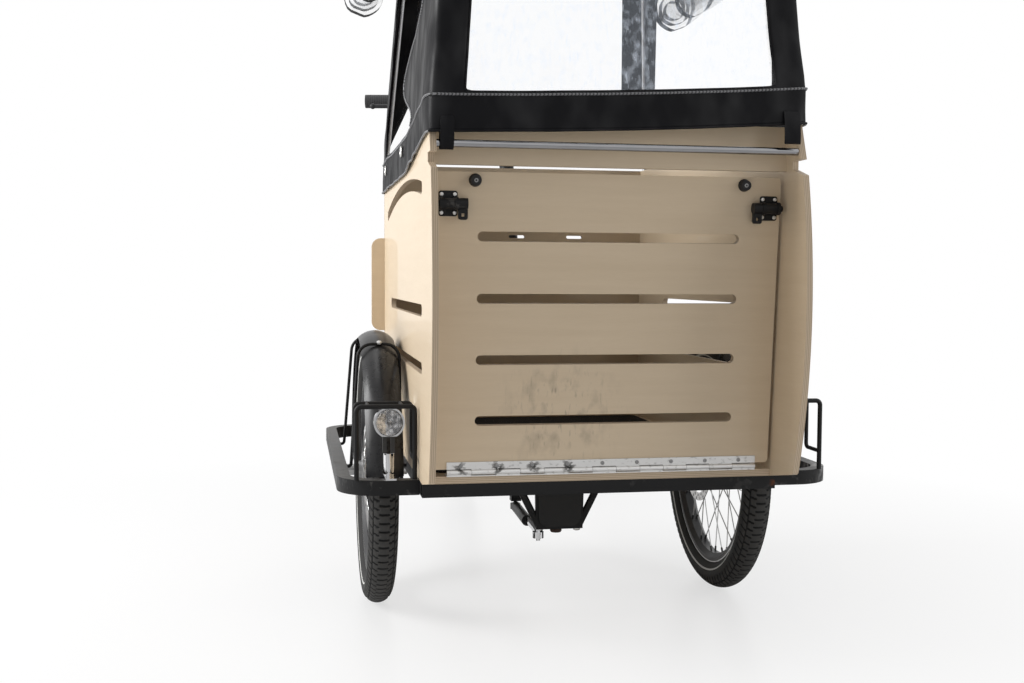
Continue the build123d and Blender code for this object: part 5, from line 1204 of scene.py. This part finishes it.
faces = grid_faces(SADDLE_ROWS, SADDLE_COLUMNS, closed=True)
faces.append(list(reversed(range(SADDLE_COLUMNS))))
faces.append([SADDLE_ROWS * SADDLE_COLUMNS + k for k in range(SADDLE_COLUMNS)])
saddle_cover, place = new_finish("grained_saddle_cover")
pebble = place.node("TexVoronoi", {}, {"Vector": place, "Scale": 420}, "Distance")
rub = grain(place, 9, detail=4)
coat(place, {
    "Base Color": mixed(rub, (0.012, 0.012, 0.012), (0.035, 0.034, 0.033)),
    "Roughness": 0.48 + 0.2 * rub,
    "Normal": bumped(pebble, 0.0006, 0.5),
})
pad = new_piece("saddle_pad", points, faces, saddle_cover)
rounded(pad, 1)
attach(pad, "rear_body")
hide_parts("saddle")

# Drive: forged cranks and chainring, a roller chain of inner and outer links, and a dark hub motor
# with bright spokes.
crank_metal = steel("forged_aluminium", (0.5, 0.5, 0.5), 0.3)
paint(crank_metal, "crankset")
MOTOR_DARK, MOTOR_SPOKES, MOTOR_R = (0.012, 0.012, 0.013), (0.5, 0.5, 0.5), 0.0775
motor_paint = wheel_metal("motor_shell_and_spokes", WHEELS[2], MOTOR_DARK, MOTOR_SPOKES, MOTOR_R)
paint(motor_paint, "hub_motor")
RING_AT, RING_R = Vector((0, 0.342, 0.3)), 0.0784
COG_AT, COG_R = Vector((0, 0.757, 0.3)), 0.0414
CHAIN_X, LINK_PITCH = -0.054, 0.0127
PLATE_OUTLINE, PLATE_R, PLATE_WAIST, PLATE_T = 20, 0.0038, 0.003, 0.001
INNER_PLATE_X, OUTER_PLATE_SHIFT = 0.0022, 0.0011
ROLLER_R, ROLLER_HALF, ROLLER_SIDES = 0.0024, 0.0044, 10
tilt = math.asin((RING_R - COG_R) / (COG_AT.y - RING_AT.y))
run = (COG_AT.y - RING_AT.y) * math.cos(tilt)
ring_arc = RING_R * (math.pi + 2 * tilt)
cog_arc = COG_R * (math.pi - 2 * tilt)
loop_length = 2 * run + ring_arc + cog_arc
links = 2 * round(loop_length / LINK_PITCH / 2)


def on_chain(travel):
    """A point of the chain's pitch line in Y and Z, at a distance along the loop."""
    travel %= loop_length
    start = math.pi / 2 - tilt
    if travel < run:
        return (RING_AT + around(0, RING_R, start)).lerp(COG_AT + around(0, COG_R, start), travel / run)
    travel -= run
    if travel < cog_arc:
        return COG_AT + around(0, COG_R, start - travel / COG_R)
    travel -= cog_arc
    if travel < run:
        return (COG_AT + around(0, COG_R, -start)).lerp(RING_AT + around(0, RING_R, -start), travel / run)
    return RING_AT + around(0, RING_R, -start - (travel - run) / RING_R)


points, faces = [], []
for link in range(links):
    a, b = (on_chain(loop_length * (link + k) / links) for k in (0, 1))
    along = (b - a).normalized()
    across = Vector((1, 0, 0)).cross(along)
    near = INNER_PLATE_X + OUTER_PLATE_SHIFT * (link % 2)
    for side in (-1, 1):
        sheets = []
        for x in (near, near + PLATE_T):
            sheets.append(len(points))
            for k in range(PLATE_OUTLINE):
                angle = 2 * math.pi * k / PLATE_OUTLINE
                middle = a if math.cos(angle) < 0 else b
                waist = PLATE_R if abs(math.cos(angle)) > 0.25 else PLATE_WAIST
                spot = middle + along * PLATE_R * math.cos(angle) + across * waist * math.sin(angle)
                points.append(spot + Vector((CHAIN_X + side * x, 0, 0)))
        inner, outer = sheets
        faces.append([inner + k for k in range(PLATE_OUTLINE)])
        faces.append([outer + k for k in reversed(range(PLATE_OUTLINE))])
        for k in range(PLATE_OUTLINE):
            after = (k + 1) % PLATE_OUTLINE
            faces.append((inner + k, outer + k, outer + after, inner + after))
    start = len(points)
    for x in (-ROLLER_HALF, ROLLER_HALF):
        for k in range(ROLLER_SIDES):
            angle = 2 * math.pi * k / ROLLER_SIDES
            spoke = along * math.cos(angle) + across * math.sin(angle)
            points.append(a + spoke * ROLLER_R + Vector((CHAIN_X + x, 0, 0)))
    faces += grid_faces(1, ROLLER_SIDES, start, closed=True)
    faces.append([start + k for k in reversed(range(ROLLER_SIDES))])
    faces.append([start + ROLLER_SIDES + k for k in range(ROLLER_SIDES)])
chain_steel = steel("oiled_chain_steel", (0.28, 0.27, 0.26), 0.3)
chain = new_piece("roller_chain", points, faces, chain_steel, smooth=False)
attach(chain, "rear_body")
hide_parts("chain")

# Rear lamp: a red lens moulded in one piece with its body, with fine upright prisms, at the back
# of the rack.
red_lens, place = new_finish("red_lens")
prism = (place.axis(0) * 160) % 1
coat(place, {
    "Base Color": mixed(prism, (0.3, 0.008, 0.008), (0.5, 0.02, 0.016)),
    "Roughness": 0.15 + 0.1 * prism,
    "Normal": bumped(prism, 0.0008, 0.5),
})
paint(red_lens, "rear_lamp")
